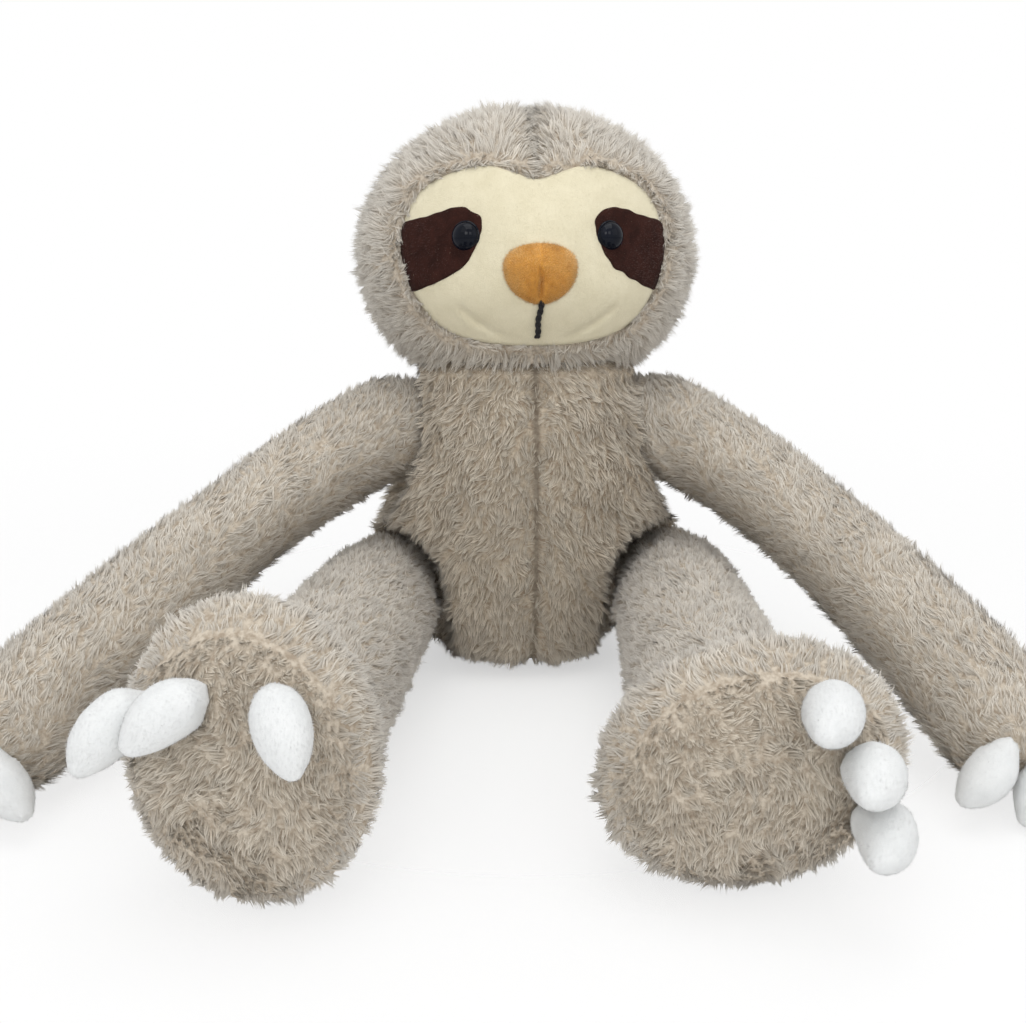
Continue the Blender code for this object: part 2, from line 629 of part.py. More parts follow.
def make_head():
    """The hood, face and features of the head, and its filling."""
    face_top_inset = PLUSH - FACE_CLOTH
    reach = HEAD_HALF_DEPTH + MUZZLE_RISE + OVERRUN
    opening = prism(face_outline(0), -reach, -OVERRUN, "face_opening")
    face_block = prism(face_outline(GAP), -reach, -OVERRUN, "face_block")
    hood = shell(head_form(0, HEAD_SIDES, HEAD_RINGS, "head"),
                 head_form(PLUSH, LINING_SIDES, LINING_RINGS, "lining"), "hood_whole", None)
    cut(hood, neck_carve)
    cut(hood, opening)
    hood = baked(hood, "hood")
    pieces = []
    left_side = box((GAP / 2, -SPAN, 0), (SPAN, SPAN, SPAN), "hood_left_side")
    right_side = box((-SPAN, -SPAN, 0), (-GAP / 2, SPAN, SPAN), "hood_right_side")
    for name, kept_side in (("hood_left", left_side), ("hood_right", right_side)):
        half = add_mesh(name + "_cut", hood.data.copy())
        cut(half, kept_side, 'INTERSECT')
        pieces.append(baked(half, name, FUR))
    face = add_mesh("face", head_form(face_top_inset, HEAD_SIDES, HEAD_RINGS, "face"))
    surface = bmesh.new()
    surface.from_mesh(face.data)
    looked_at = BVHTree.FromBMesh(surface)

    def on_face(x, z):
        return looked_at.ray_cast(Vector((x, -reach, z)), Vector((0, 1, 0)))[0]

    cut(face, add_mesh("face_lining", head_form(PLUSH, HEAD_SIDES, HEAD_RINGS, "face_lining")))
    cut(face, face_block, 'INTERSECT')
    filling = add_mesh("head_filling", head_form(PLUSH + FILLING_GAP, LINING_SIDES,
                                                 LINING_RINGS, "head_filling"))
    filling_neck = add_mesh("filling_neck", mesh_from(
        ball_shape((neck_ball, neck_ball, neck_ball), neck_place, ROUND_SIDES, ROUND_RINGS), "neck"))
    cut(filling, filling_neck)
    for side, label in ((1, "left"), (-1, "right")):
        spot = on_face(side * EYE_SPACING / 2, EYE_HEIGHT)
        inward = Vector((-spot.x, -spot.y, (HEAD_HEIGHT - spot.z) / 2)).normalized()
        stem_hole = rod(spot, inward, EYE_STEM_RADIUS + GAP, 2 * EYE_STEM_LENGTH + OVERRUN,
                        f"stem_hole_{label}")
        cut(face, stem_hole)
        patch = add_mesh("patch_" + label, head_form(face_top_inset - 2 * GAP - PATCH_CLOTH, HEAD_SIDES,
                                                     HEAD_RINGS, "patch"))
        cut(patch, add_mesh("patch_lining_" + label,
                            head_form(face_top_inset - 2 * GAP, HEAD_SIDES, HEAD_RINGS, "patch_lining")))
        cut(patch, prism(patch_outline(side, 0), -reach, -OVERRUN, "patch_block_" + label), 'INTERSECT')
        cut(patch, face_block, 'INTERSECT')
        cut(patch, stem_hole)
        pieces.append(baked(patch, "eye_patch_" + label, BROWN))
        pieces += make_eye(label, spot, inward)
        depth = EYE_STEM_LENGTH + 2 * GAP
        pocket = spot + inward * (depth - OVERRUN) / 2
        cut(filling, rod(pocket, inward, WASHER_RADIUS + 2 * GAP, depth + OVERRUN,
                         "washer_pocket_" + label))
    spot = on_face(0, NOSE_HEIGHT)
    half_sizes = (NOSE_HALF_WIDTH, 2 * NOSE_RISE, NOSE_HALF_HEIGHT)
    nose = add_mesh("nose_whole", mesh_from(ball_shape(
        half_sizes, Matrix.Translation(spot + Vector((0, NOSE_RISE, 0))), LINING_SIDES, LINING_RINGS), "nose"))
    cut(nose, add_mesh("nose_seat", head_form(face_top_inset - 2 * GAP, HEAD_SIDES, HEAD_RINGS, "seat")))
    pieces.append(baked(nose, "nose", CARAMEL))
    rows = blend(MOUTH_TOP, MOUTH_BOTTOM, STITCH_POINTS)
    path = [on_face(0, z) - Vector((0, THREAD_RADIUS + GAP + STITCH_LIFT, 0)) for z in rows]
    thread = tube(path, [THREAD_RADIUS] * len(path), CLAW_BEVEL, "mouth_stitch")
    pieces.append(add_mesh("mouth_stitch", thread, THREAD))
    pieces.append(baked(face, "face_panel", CREAM))
    pieces.append(baked(filling, "head_stuffing", STUFFING))
    return pieces


def make_eye(label, spot, inward):
    """A domed eye with a stem through the face, and the washer that locks it from behind."""
    lift = PATCH_CLOTH + 3 * GAP + EYE_SEAT
    base = spot - inward * lift
    turn = inward.to_track_quat('Z', 'Y').to_matrix().to_4x4()
    dome_shape = ball_shape((EYE_RADIUS, EYE_RADIUS, EYE_RISE), Matrix.Translation(base) @ turn,
                            LINING_SIDES, LINING_RINGS)
    bmesh.ops.bisect_plane(dome_shape, geom=dome_shape.verts[:] + dome_shape.edges[:] + dome_shape.faces[:],
                           plane_co=base, plane_no=inward, clear_outer=True)
    bmesh.ops.holes_fill(dome_shape, edges=dome_shape.edges)
    dome = add_mesh("eye_dome_" + label, mesh_from(dome_shape, "dome"))
    stem_length = lift + EYE_STEM_LENGTH
    stem = rod(base + inward * (stem_length / 2 - EYE_RISE / 4), inward, EYE_STEM_RADIUS,
               stem_length + EYE_RISE / 2, "eye_stem_" + label)
    cut(dome, stem, 'UNION')
    behind = spot + inward * (FACE_CLOTH + WASHER_SEAT + WASHER_THICK / 2)
    washer = rod(behind, inward, WASHER_RADIUS, WASHER_THICK, "washer_" + label)
    cut(washer, rod(behind, inward, EYE_STEM_RADIUS + GAP, OVERRUN, "washer_hole_" + label))
    return [baked(dome, "eye_" + label, EYE_GLOSS),
            baked(washer, "eye_washer_" + label, WASHER_PLASTIC)]


def hang_from(name, pivot, pieces):
    """Parent pieces to an empty on their joint axis, without moving them."""
    empty = bpy.data.objects.new(name, None)
    parts.objects.link(empty)
    empty.location = pivot
    bpy.context.view_layer.update()
    for piece in pieces:
        piece.parent = empty
        piece.matrix_parent_inverse = empty.matrix_world.inverted()


make_torso()
hang_from("neck_pivot", (0, 0, NECK_HEIGHT), make_head())
hang_from("left_shoulder_pivot", (SHOULDER_X, SHOULDER_Y, SHOULDER_Z),
          make_arm("arm_left", 1, LEFT_ARM_BEND, LEFT_HAND))
hang_from("right_shoulder_pivot", (-SHOULDER_X, SHOULDER_Y, SHOULDER_Z),
          make_arm("arm_right", -1, RIGHT_ARM_BEND, RIGHT_HAND))
hang_from("left_hip_pivot", (HIP_X, HIP_Y, HIP_Z),
          make_leg("leg_left", 1, LEFT_LEG, LEFT_FOOT_STEP, LEFT_TOE_TURN_DEG, LEFT_CLAW_SHARES))
hang_from("right_hip_pivot", (-HIP_X, HIP_Y, HIP_Z),
          make_leg("leg_right", -1, RIGHT_LEG, RIGHT_FOOT_STEP, RIGHT_TOE_TURN_DEG,
                   RIGHT_CLAW_SHARES))
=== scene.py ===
# %% [markdown]
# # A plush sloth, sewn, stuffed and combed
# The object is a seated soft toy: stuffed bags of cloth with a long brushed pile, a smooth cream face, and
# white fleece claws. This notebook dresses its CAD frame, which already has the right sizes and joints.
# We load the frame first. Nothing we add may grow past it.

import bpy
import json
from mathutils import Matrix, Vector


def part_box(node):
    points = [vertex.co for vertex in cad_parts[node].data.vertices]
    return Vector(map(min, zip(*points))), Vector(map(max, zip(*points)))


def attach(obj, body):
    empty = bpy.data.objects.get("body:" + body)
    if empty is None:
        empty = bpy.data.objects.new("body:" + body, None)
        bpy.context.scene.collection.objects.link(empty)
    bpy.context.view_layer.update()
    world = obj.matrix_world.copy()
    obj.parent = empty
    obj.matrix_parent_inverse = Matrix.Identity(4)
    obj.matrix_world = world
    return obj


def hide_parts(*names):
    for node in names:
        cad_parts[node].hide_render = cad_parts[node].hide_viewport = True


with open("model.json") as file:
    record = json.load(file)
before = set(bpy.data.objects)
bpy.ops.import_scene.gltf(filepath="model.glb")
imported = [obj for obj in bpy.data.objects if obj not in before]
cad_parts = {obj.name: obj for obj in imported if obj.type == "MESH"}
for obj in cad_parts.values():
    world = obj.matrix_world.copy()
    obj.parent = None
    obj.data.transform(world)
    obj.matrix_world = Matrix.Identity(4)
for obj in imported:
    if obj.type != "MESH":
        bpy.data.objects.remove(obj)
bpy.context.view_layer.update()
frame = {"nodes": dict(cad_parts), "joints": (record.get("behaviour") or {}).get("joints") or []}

import json
import math

import bmesh
import bpy
import numpy as np
from mathutils import Matrix, Vector
from mathutils.bvhtree import BVHTree
from mathutils.kdtree import KDTree

nodes = frame["nodes"]
scene = bpy.context.scene

# %% [markdown]
# ## The camera
# The photograph was taken from a little above the toy's head, about half a metre in front of it. The camera's
# place and lens come from the places of the feet, the seat and the head in the picture, so it is typed here
# once, as a point, two directions and a focal length.

# %% Camera
CAMERA_PLACE = (-0.0503, -0.5628, 0.2200)
CAMERA_RIGHT, CAMERA_AHEAD = (0.9969, -0.0785, 0.0), (0.0758, 0.9629, -0.2588)
FOCAL_LENGTH_PX, FRAME_WIDTH_PX, SENSOR_MM = 1195, 1026, 36


def add_object(name, data):
    thing = bpy.data.objects.new(name, data)
    scene.collection.objects.link(thing)
    return thing


camera = add_object("camera", bpy.data.cameras.new("camera"))
right, ahead = (Vector(way).normalized() for way in (CAMERA_RIGHT, CAMERA_AHEAD))
turn = Matrix((right, right.cross(ahead), -ahead)).transposed().to_4x4()
camera.matrix_world = Matrix.Translation(CAMERA_PLACE) @ turn
camera.data.lens = FOCAL_LENGTH_PX / FRAME_WIDTH_PX * SENSOR_MM
camera.data.sensor_width = SENSOR_MM
camera.data.clip_start = 0.01
scene.camera = camera

# %% [markdown]
# ## The stage
# A product photograph like this one has a white sweep and large soft lamps. A plane is the floor, and the
# lamps stay at a level at which a colour renders about as it is written.

# %% Floor and lamps
LAMPS = {  # place, target and size in metres, then watts
    "key": ((-0.9, -1.1, 1.5), (0, -0.05, 0.1), 1.1, 2.4),
    "fill": ((1.2, -0.9, 0.9), (0, -0.05, 0.1), 1.0, 1.5),
    "top": ((0.05, -0.35, 1.5), (0, -0.12, 0.1), 1.1, 7.5),
    "window_left": ((-0.34, -1.00, 0.66), (0, -0.05, 0.2), 0.34, 1.5),
    "window_right": ((0.22, -1.00, 0.66), (0, -0.05, 0.2), 0.34, 0.9)}


def deselect():
    """Leave nothing selected, because an operator acts on all that is."""
    bpy.ops.object.select_all(action='DESELECT')


def select_only(thing):
    deselect()
    thing.select_set(True)
    bpy.context.view_layer.objects.active = thing


deselect()
bpy.ops.mesh.primitive_plane_add(size=8, location=(0, 0, -0.0002))
floor = bpy.context.object
floor.name = "floor"
for name, (place, target, size, watts) in LAMPS.items():
    lamp = add_object(name, bpy.data.lights.new(name, 'AREA'))
    aim = (Vector(target) - Vector(place)).to_track_quat('-Z', 'Y')
    lamp.matrix_world = Matrix.Translation(place) @ aim.to_matrix().to_4x4()
    lamp.data.size, lamp.data.energy = size, watts
scene.view_settings.view_transform = 'Standard'
print(len(LAMPS), "lamps")

# %% [markdown]
# ## Shader maths as expressions
# A finish is a small graph of nodes. Wrapping a socket in a class lets us write that graph as sums and
# products, and each operator adds its own Math node. One method makes every other kind of node.

# %% Sockets that can be added and multiplied
class Wire:
    """A node's output that grows Math nodes when it is used in an expression."""

    def __init__(self, recipe, socket):
        self.recipe, self.socket = recipe, socket

    def maths(self, operation, other):
        return self.recipe.node('ShaderNodeMath', {'operation': operation}, {0: self, 1: other})

    def __add__(self, other):
        return self.maths('ADD', other)

    def __mul__(self, other):
        return self.maths('MULTIPLY', other)

    __radd__, __rmul__ = __add__, __mul__

    def output(self, number):
        """Another output of the same node."""
        return Wire(self.recipe, self.socket.node.outputs[number])


class Recipe:
    """A material, and the methods that add nodes to it."""

    def __init__(self, name, roughness=0.9, sheen=0.0):
        self.material = bpy.data.materials.new(name)
        self.material.use_nodes = True
        self.tree = self.material.node_tree
        self.shader = self.tree.nodes["Principled BSDF"]
        self.shader.inputs["Roughness"].default_value = roughness
        self.shader.inputs["Sheen Weight"].default_value = sheen
        self.shader.inputs["Sheen Roughness"].default_value = 0.6

    def node(self, kind, settings=None, sockets=None, output=0):
        """Add a node: its settings first, then the values or links of its sockets."""
        made = self.tree.nodes.new(kind)
        for key, value in (settings or {}).items():
            if key == 'stops':
                while len(made.color_ramp.elements) < len(value):
                    made.color_ramp.elements.new(0.5)
                for element, (place, colour) in zip(made.color_ramp.elements, value):
                    element.position = place
                    element.color = (*colour, 1.0)
            else:
                setattr(made, key, value)
        for key, value in (sockets or {}).items():
            self.feed(made.inputs[key], value)
        return Wire(self, made.outputs[output])

    def feed(self, socket, value):
        """Link a wire to a socket, or set a plain value on it."""
        if isinstance(value, Wire):
            self.tree.links.new(value.socket, socket)
        else:
            socket.default_value = value

    def place(self):
        return self.node('ShaderNodeTexCoord', output=3)

    def noise(self, size, detail=2.0, roughness=0.5, place=None):
        """Noise whose blobs are about size metres across."""
        return self.node('ShaderNodeTexNoise', None, {
            'Vector': place or self.place(), 'Scale': 1 / size, 'Detail': detail, 'Roughness': roughness})

    def ramp(self, value, stops):
        return self.node('ShaderNodeValToRGB', {'stops': stops}, {0: value})

    def scaled(self, colour, level):
        return self.node('ShaderNodeVectorMath', {'operation': 'SCALE'}, {0: colour, 'Scale': level})

    def ease(self, value, start, end, low=0.0):
        """Run smoothly from low to one while a value goes from start to end."""
        return self.node('ShaderNodeMapRange', {'interpolation_type': 'SMOOTHSTEP'},
                         {'Value': value, 'From Min': start, 'From Max': end, 'To Min': low})

    def paint(self, colour, bump=None, strength=0.3, distance=0.0005):
        """Feed the shader's colour and normal."""
        self.feed(self.shader.inputs["Base Color"], colour)
        if bump is not None:
            normal = self.node('ShaderNodeBump', None, {
                'Strength': strength, 'Distance': distance, 'Height': bump})
            self.feed(self.shader.inputs["Normal"], normal)


def wear(thing, recipe):
    """Give an object one finish and nothing else."""
    thing.data.materials.clear()
    thing.data.materials.append(recipe.material)


# %% [markdown]
# The floor is matt white paper. For the camera alone it is partly clear, and fully so away from the toy, so
# it keeps a soft shadow, meets the white world without a line, and shows the legs when they hang below it.
# The world is plain white to the camera and to shiny surfaces, and a weaker white to everything else.

# %% White paper and white air
CLEAR_FROM, CLEAR_AT = -0.75, 0.7
AIR_LIGHT = 0.66
paper = Recipe("white_paper", roughness=0.9)
paper.paint((0.93, 0.93, 0.93, 1))
away = paper.node('ShaderNodeVectorMath', {'operation': 'LENGTH'}, {0: paper.place()}, output=1)
seen = paper.node('ShaderNodeLightPath')
clear = paper.node('ShaderNodeBsdfTransparent')
blend = paper.node('ShaderNodeMixShader', None, {
    0: paper.ease(away, CLEAR_FROM, CLEAR_AT) * seen, 1: Wire(paper, paper.shader.outputs[0]), 2: clear})
paper.feed(paper.tree.nodes["Material Output"].inputs[0], blend)
wear(floor, paper)

world = bpy.data.worlds.new("white_air")
scene.world = world
world.use_nodes = True
air = world.node_tree
path, shown, level = (air.nodes.new('ShaderNode' + kind) for kind in ('LightPath', 'Math', 'MapRange'))
shown.operation = 'MAXIMUM'
air.links.new(path.outputs['Is Camera Ray'], shown.inputs[0])
air.links.new(path.outputs['Is Glossy Ray'], shown.inputs[1])
level.inputs['To Min'].default_value = AIR_LIGHT
air.links.new(shown.outputs[0], level.inputs['Value'])
air.links.new(level.outputs[0], air.nodes['Background'].inputs['Strength'])
air.nodes['Background'].inputs['Color'].default_value = (1, 1, 1, 1)

# %% [markdown]
# ## Stuffed bags
# Each body of the toy is a bag of plush cloth packed with fibre. Its surface under the pile is made the way
# cloth shapes are made in Blender: the CAD pieces of the bag are copied, joined and voxel remeshed into one
# even skin. Then a Cloth simulation blows it up a little between the seams, which hold it in, and the skin
# is drawn in by the height of the pile, so that the tips of the fur end where the CAD surface is.

# %% Helpers that measure against CAD pieces
PILE = 0.0036
SOCKET_PILE = 0.0010


def tree_of(names):
    """A search tree over the faces of CAD nodes."""
    points, faces = [], []
    for name in names:
        start = len(points)
        mesh = nodes[name].data
        points += [v.co.copy() for v in mesh.vertices]
        faces += [tuple(start + i for i in p.vertices) for p in mesh.polygons]
    return BVHTree.FromPolygons(points, faces)


def distances(points, tree, reach=1.0):
    """How far each point lies from a tree's nearest face."""
    found = np.full(len(points), reach)
    for i, point in enumerate(points):
        hit = tree.find_nearest(Vector(point), reach)
        if hit[3] is not None:
            found[i] = hit[3]
    return found


def points_of(mesh, rows="vertices", key="co"):
    flat = np.empty(len(mesh.vertices) * 3)
    getattr(mesh, rows).foreach_get(key, flat)
    return flat.reshape(-1, 3)


def normals_of(mesh):
    return points_of(mesh, "vertex_normals", "vector")


def move_points(mesh, points):
    mesh.vertices.foreach_set("co", points.astype(np.float32).ravel())
    mesh.update()


def apply_modifiers(thing):
    select_only(thing)
    for modifier in list(thing.modifiers):
        bpy.ops.object.modifier_apply(modifier=modifier.name)


def smooth_out(thing, times):
    """Relax a mesh, so that its facets go."""
    smooth = thing.modifiers.new("smooth", 'SMOOTH')
    smooth.factor = 0.5
    smooth.iterations = times
    apply_modifiers(thing)


# %% One even skin from several CAD pieces
def joined_copy(name, names):
    """One object with the merged meshes of several CAD nodes."""
    shape = bmesh.new()
    for node in names:
        shape.from_mesh(nodes[node].data)
    bmesh.ops.remove_doubles(shape, verts=shape.verts, dist=1e-6)
    mesh = bpy.data.meshes.new(name)
    shape.to_mesh(mesh)
    shape.free()
    return add_object(name, mesh)


def keep_outer_skin(mesh):
    """Delete the small shells that a remesh leaves around inner gaps."""
    shape = bmesh.new()
    shape.from_mesh(mesh)
    left, shells = set(shape.verts), []
    while left:
        queue, shell = [left.pop()], []
        while queue:
            vert = queue.pop()
            shell.append(vert)
            for edge in vert.link_edges:
                other = edge.other_vert(vert)
                if other in left:
                    left.remove(other)
                    queue.append(other)
        shells.append(shell)
    shells.sort(key=len)
    doomed = [vert for shell in shells[:-1] for vert in shell]
    bmesh.ops.delete(shape, geom=doomed, context='VERTS')
    shape.to_mesh(mesh)
    shape.free()


def make_skin(name, names, grain):
    """Voxel remesh the joined pieces and smooth away their facets."""
    skin = joined_copy(name, names)
    remesh = skin.modifiers.new("remesh", 'REMESH')
    remesh.mode = 'VOXEL'
    remesh.voxel_size = grain
    apply_modifiers(skin)
    keep_outer_skin(skin.data)
    smooth_out(skin, 6)
    return skin


# %% Blow a skin up
PRESSURE, CLOTH_FRAMES = 4, 20


def blow_up(skin, held, cap):
    """Inflate the cloth between the points that its seams hold, and cap how far a point may move."""
    before = points_of(skin.data)
    group = skin.vertex_groups.new(name="seams")
    for i in np.nonzero(held > 0.02)[0]:
        group.add([int(i)], float(min(held[i], 1.0)), 'REPLACE')
    cloth = skin.modifiers.new("stuffing", 'CLOTH')
    how = cloth.settings
    how.quality, how.mass = 4, 0.3
    how.use_pressure, how.uniform_pressure_force = True, PRESSURE
    how.vertex_group_mass = "seams"
    how.effector_weights.gravity = 0
    how.tension_stiffness = how.compression_stiffness = 25
    for number in range(1, CLOTH_FRAMES + 1):
        scene.frame_set(number)
    seen = skin.evaluated_get(bpy.context.evaluated_depsgraph_get())
    moved = points_of(seen.data) - before
    skin.modifiers.remove(cloth)
    scene.frame_set(1)
    step = np.linalg.norm(moved, axis=1, keepdims=True)
    moved *= np.minimum(1, cap / np.maximum(step, 1e-9))
    move_points(skin.data, before + moved)
    return float(step.max())

# %% Make a bag
BAG_GRAIN, BAG_CAP, BAG_FLOOR = 0.003, 0.0025, 0.0012
SEAM_WIDTH, SOCKET_FROM, SOCKET_WIDTH = 0.0035, 0.0015, 0.003
bags = {}


def make_bag(name, names, body, others, seam_depth=0.0014):
    """A stuffed bag: remesh, blow up, then draw in by the pile, less where it sits in a socket."""
    skin = make_skin(name, names, BAG_GRAIN)
    points = points_of(skin.data)
    panels = [n for n in names if "stuffing" not in n]
    near = np.sort([distances(points, tree_of([n]), 0.05) for n in panels], axis=0)
    seam = np.exp(-(near[1] / SEAM_WIDTH) ** 2) if len(panels) > 1 else np.zeros(len(points))
    room = distances(points, tree_of(others), 0.03)
    socket = np.clip(1 - (room - SOCKET_FROM) / SOCKET_WIDTH, 0, 1)
    swell = blow_up(skin, np.maximum(seam, socket), BAG_CAP)
    inset = PILE + (SOCKET_PILE - PILE) * socket + seam_depth * seam * (1 - socket)
    drawn = points_of(skin.data) - normals_of(skin.data) * inset[:, None]
    drawn[:, 2] = np.maximum(drawn[:, 2], BAG_FLOOR)
    move_points(skin.data, drawn)
    smooth_out(skin, 2)
    bpy.ops.object.shade_smooth()
    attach(skin, body)
    bags[name] = skin
    print(name, len(skin.data.polygons), "faces, swelled", round(1000 * swell, 2), "mm")


# %% [markdown]
# The six bags: the torso, the head, two arms and two legs. Each replaces its filling, and its fur, which
# comes later, replaces the plush panels.

# %% Cut and fill the six bags
LIMBS = {"arm_left": ("left_arm", "left_shoulder"), "arm_right": ("right_arm", "right_shoulder"),
         "leg_left": ("left_leg", "left_hip"), "leg_right": ("right_leg", "right_hip")}


def nodes_with(*starts):
    return [n for n in nodes if n.startswith(starts)]


torso_nodes = nodes_with("torso_")
torso_neighbours = nodes_with("hood_", *(limb + "_skin" for limb in LIMBS))
make_bag("torso_bag", torso_nodes, "torso", torso_neighbours, seam_depth=0.0026)
make_bag("head_bag", ["hood_left", "hood_right", "face_panel", "head_stuffing"], "head", torso_nodes)
for limb, (body, joint) in LIMBS.items():
    cloth_nodes = [n for n in nodes_with(limb + "_") if "claw" not in n]
    make_bag(limb + "_bag", cloth_nodes, body, torso_nodes)
for name, bag in bags.items():
    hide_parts(name.replace("_bag", "_stuffing"))

# %% [markdown]
# ## Growing the pile
# Long brushed plush is a carpet of fibres that lean one way and cling together in small locks. Hair particles
# don't survive an export, so each fibre is a thin closed spike of four triangles, and NumPy places them all.
# Broad spikes with fine streaks stand for tufts, and thin ones are the single hairs between them. It looks
# like plush and not like grass because the combed direction wanders, each fibre is pulled towards the guide
# fibre of its lock, and its colour runs from a brown root to a pale tip.

# %% Smooth wandering numbers, and even scattering
def waves(points, size, seed, count=8):
    """Smooth numbers near -1 to 1 that change over about size metres."""
    dice = np.random.default_rng(seed)
    total = np.zeros(len(points))
    for _ in range(count):
        way = dice.normal(size=3)
        way *= 2 * np.pi / size / np.linalg.norm(way) * dice.uniform(0.6, 1.3)
        total += np.sin(points @ way + dice.uniform(0, 2 * np.pi))
    return total / (0.9 * count ** 0.5)


def unit(vectors):
    return vectors / np.maximum(np.linalg.norm(vectors, axis=1, keepdims=True), 1e-12)


def scatter(skin, per_mm2, seed):
    """Roots spread over a skin by area, with their normals."""
    mesh = skin.data
    mesh.calc_loop_triangles()
    corners = np.empty(len(mesh.loop_triangles) * 3, dtype=np.int32)
    mesh.loop_triangles.foreach_get("vertices", corners)
    corners = corners.reshape(-1, 3)
    points, normals = points_of(mesh), normals_of(mesh)
    a, b, c = (points[corners[:, k]] for k in range(3))
    area = np.linalg.norm(np.cross(b - a, c - a), axis=1) / 2
    dice = np.random.default_rng(seed)
    count = int(area.sum() * 1e6 * per_mm2)
    pick = np.searchsorted(np.cumsum(area), (np.arange(count) + dice.random(count)) / count * area.sum())
    pick = np.minimum(pick, len(area) - 1)
    u, v = dice.random(count), dice.random(count)
    u, v = np.where(u + v > 1, 1 - u, u), np.where(u + v > 1, 1 - v, v)
    shares = np.stack([1 - u - v, u, v])[:, :, None]
    spot = sum(share * points[corners[pick, k]] for k, share in enumerate(shares))
    facing = unit(sum(share * normals[corners[pick, k]] for k, share in enumerate(shares)))
    return spot, facing


# %% Bend fibres, gather them in locks and make the mesh
def lay(normals, comb, swing, lift):
    """The direction of each fibre, combed along the skin, swung aside and lifted off it."""
    comb = unit(comb - normals * (comb * normals).sum(axis=1, keepdims=True))
    across = np.cross(normals, comb)
    comb = comb * np.cos(swing)[:, None] + across * np.sin(swing)[:, None]
    return comb * np.cos(lift)[:, None] + normals * np.sin(lift)[:, None]


def fibre_mesh(name, root, tip, side, normal, width, shade, spread):
    """Closed spikes of four triangles, with a map that runs from root to tip and across by spread."""
    count = len(root)
    up = unit(np.cross(side, tip - root))
    verts = np.empty((count, 4, 3))
    for k, way in enumerate((side, up * 0.6, -side)):
        verts[:, k] = root + way * width[:, None]
    verts[:, 3] = tip
    faces = np.array([(0, 1, 3), (1, 2, 3), (2, 0, 3), (0, 2, 1)])
    outward = np.cross(verts[0, 1] - verts[0, 0], verts[0, 3] - verts[0, 0])
    if outward @ (verts[0, [0, 1, 3]].mean(axis=0) - verts[0].mean(axis=0)) < 0:
        faces = faces[:, ::-1]
    mesh = bpy.data.meshes.new(name)
    mesh.vertices.add(count * 4)
    mesh.vertices.foreach_set("co", verts.astype(np.float32).ravel())
    index = (faces[None] + 4 * np.arange(count)[:, None, None]).astype(np.int32)
    mesh.loops.add(index.size)
    mesh.loops.foreach_set("vertex_index", index.ravel())
    mesh.polygons.add(index.size // 3)
    mesh.polygons.foreach_set("loop_start", np.arange(0, index.size, 3, dtype=np.int32))
    mesh.polygons.foreach_set("use_smooth", np.ones(index.size // 3, dtype=bool))
    mesh.update(calc_edges=True)
    along = np.array([0.03, 0.03, 0.03, 0.97])
    beside = np.array([-1.0, 0.0, 1.0, 0.0])
    u = np.broadcast_to(along[faces], (count, 4, 3)).copy()
    u[:, 3, 1] += 0.01
    v = shade[:, None, None] + spread[:, None, None] * np.broadcast_to(beside[faces], (count, 4, 3))
    layer = mesh.uv_layers.new(name="OFBake")
    layer.data.foreach_set("uv", np.stack([u, v], axis=-1).astype(np.float32).ravel())
    own = np.stack([side, up, -side, unit(tip - root)], axis=1) * 0.5
    soft = unit((own + normal[:, None, :]).reshape(-1, 3))
    mesh.normals_split_custom_set_from_vertices(soft.astype(np.float32))
    return mesh


LOCK_SWING, LOCK_LIFT, HAIR_SWING, HAIR_LIFT = 0.36, 0.20, 0.16, 0.10
TUFT_LIFT, TUFT_LENGTH, TUFT_WIDTH, HAIR_WIDTH = 0.84, 0.74, 2.4, 0.8
TUFT_SPREAD, HAIR_SPREAD = 0.040, 0.004
LOWEST_TIP, ROOT_DEPTH = 0.0003, 0.0004


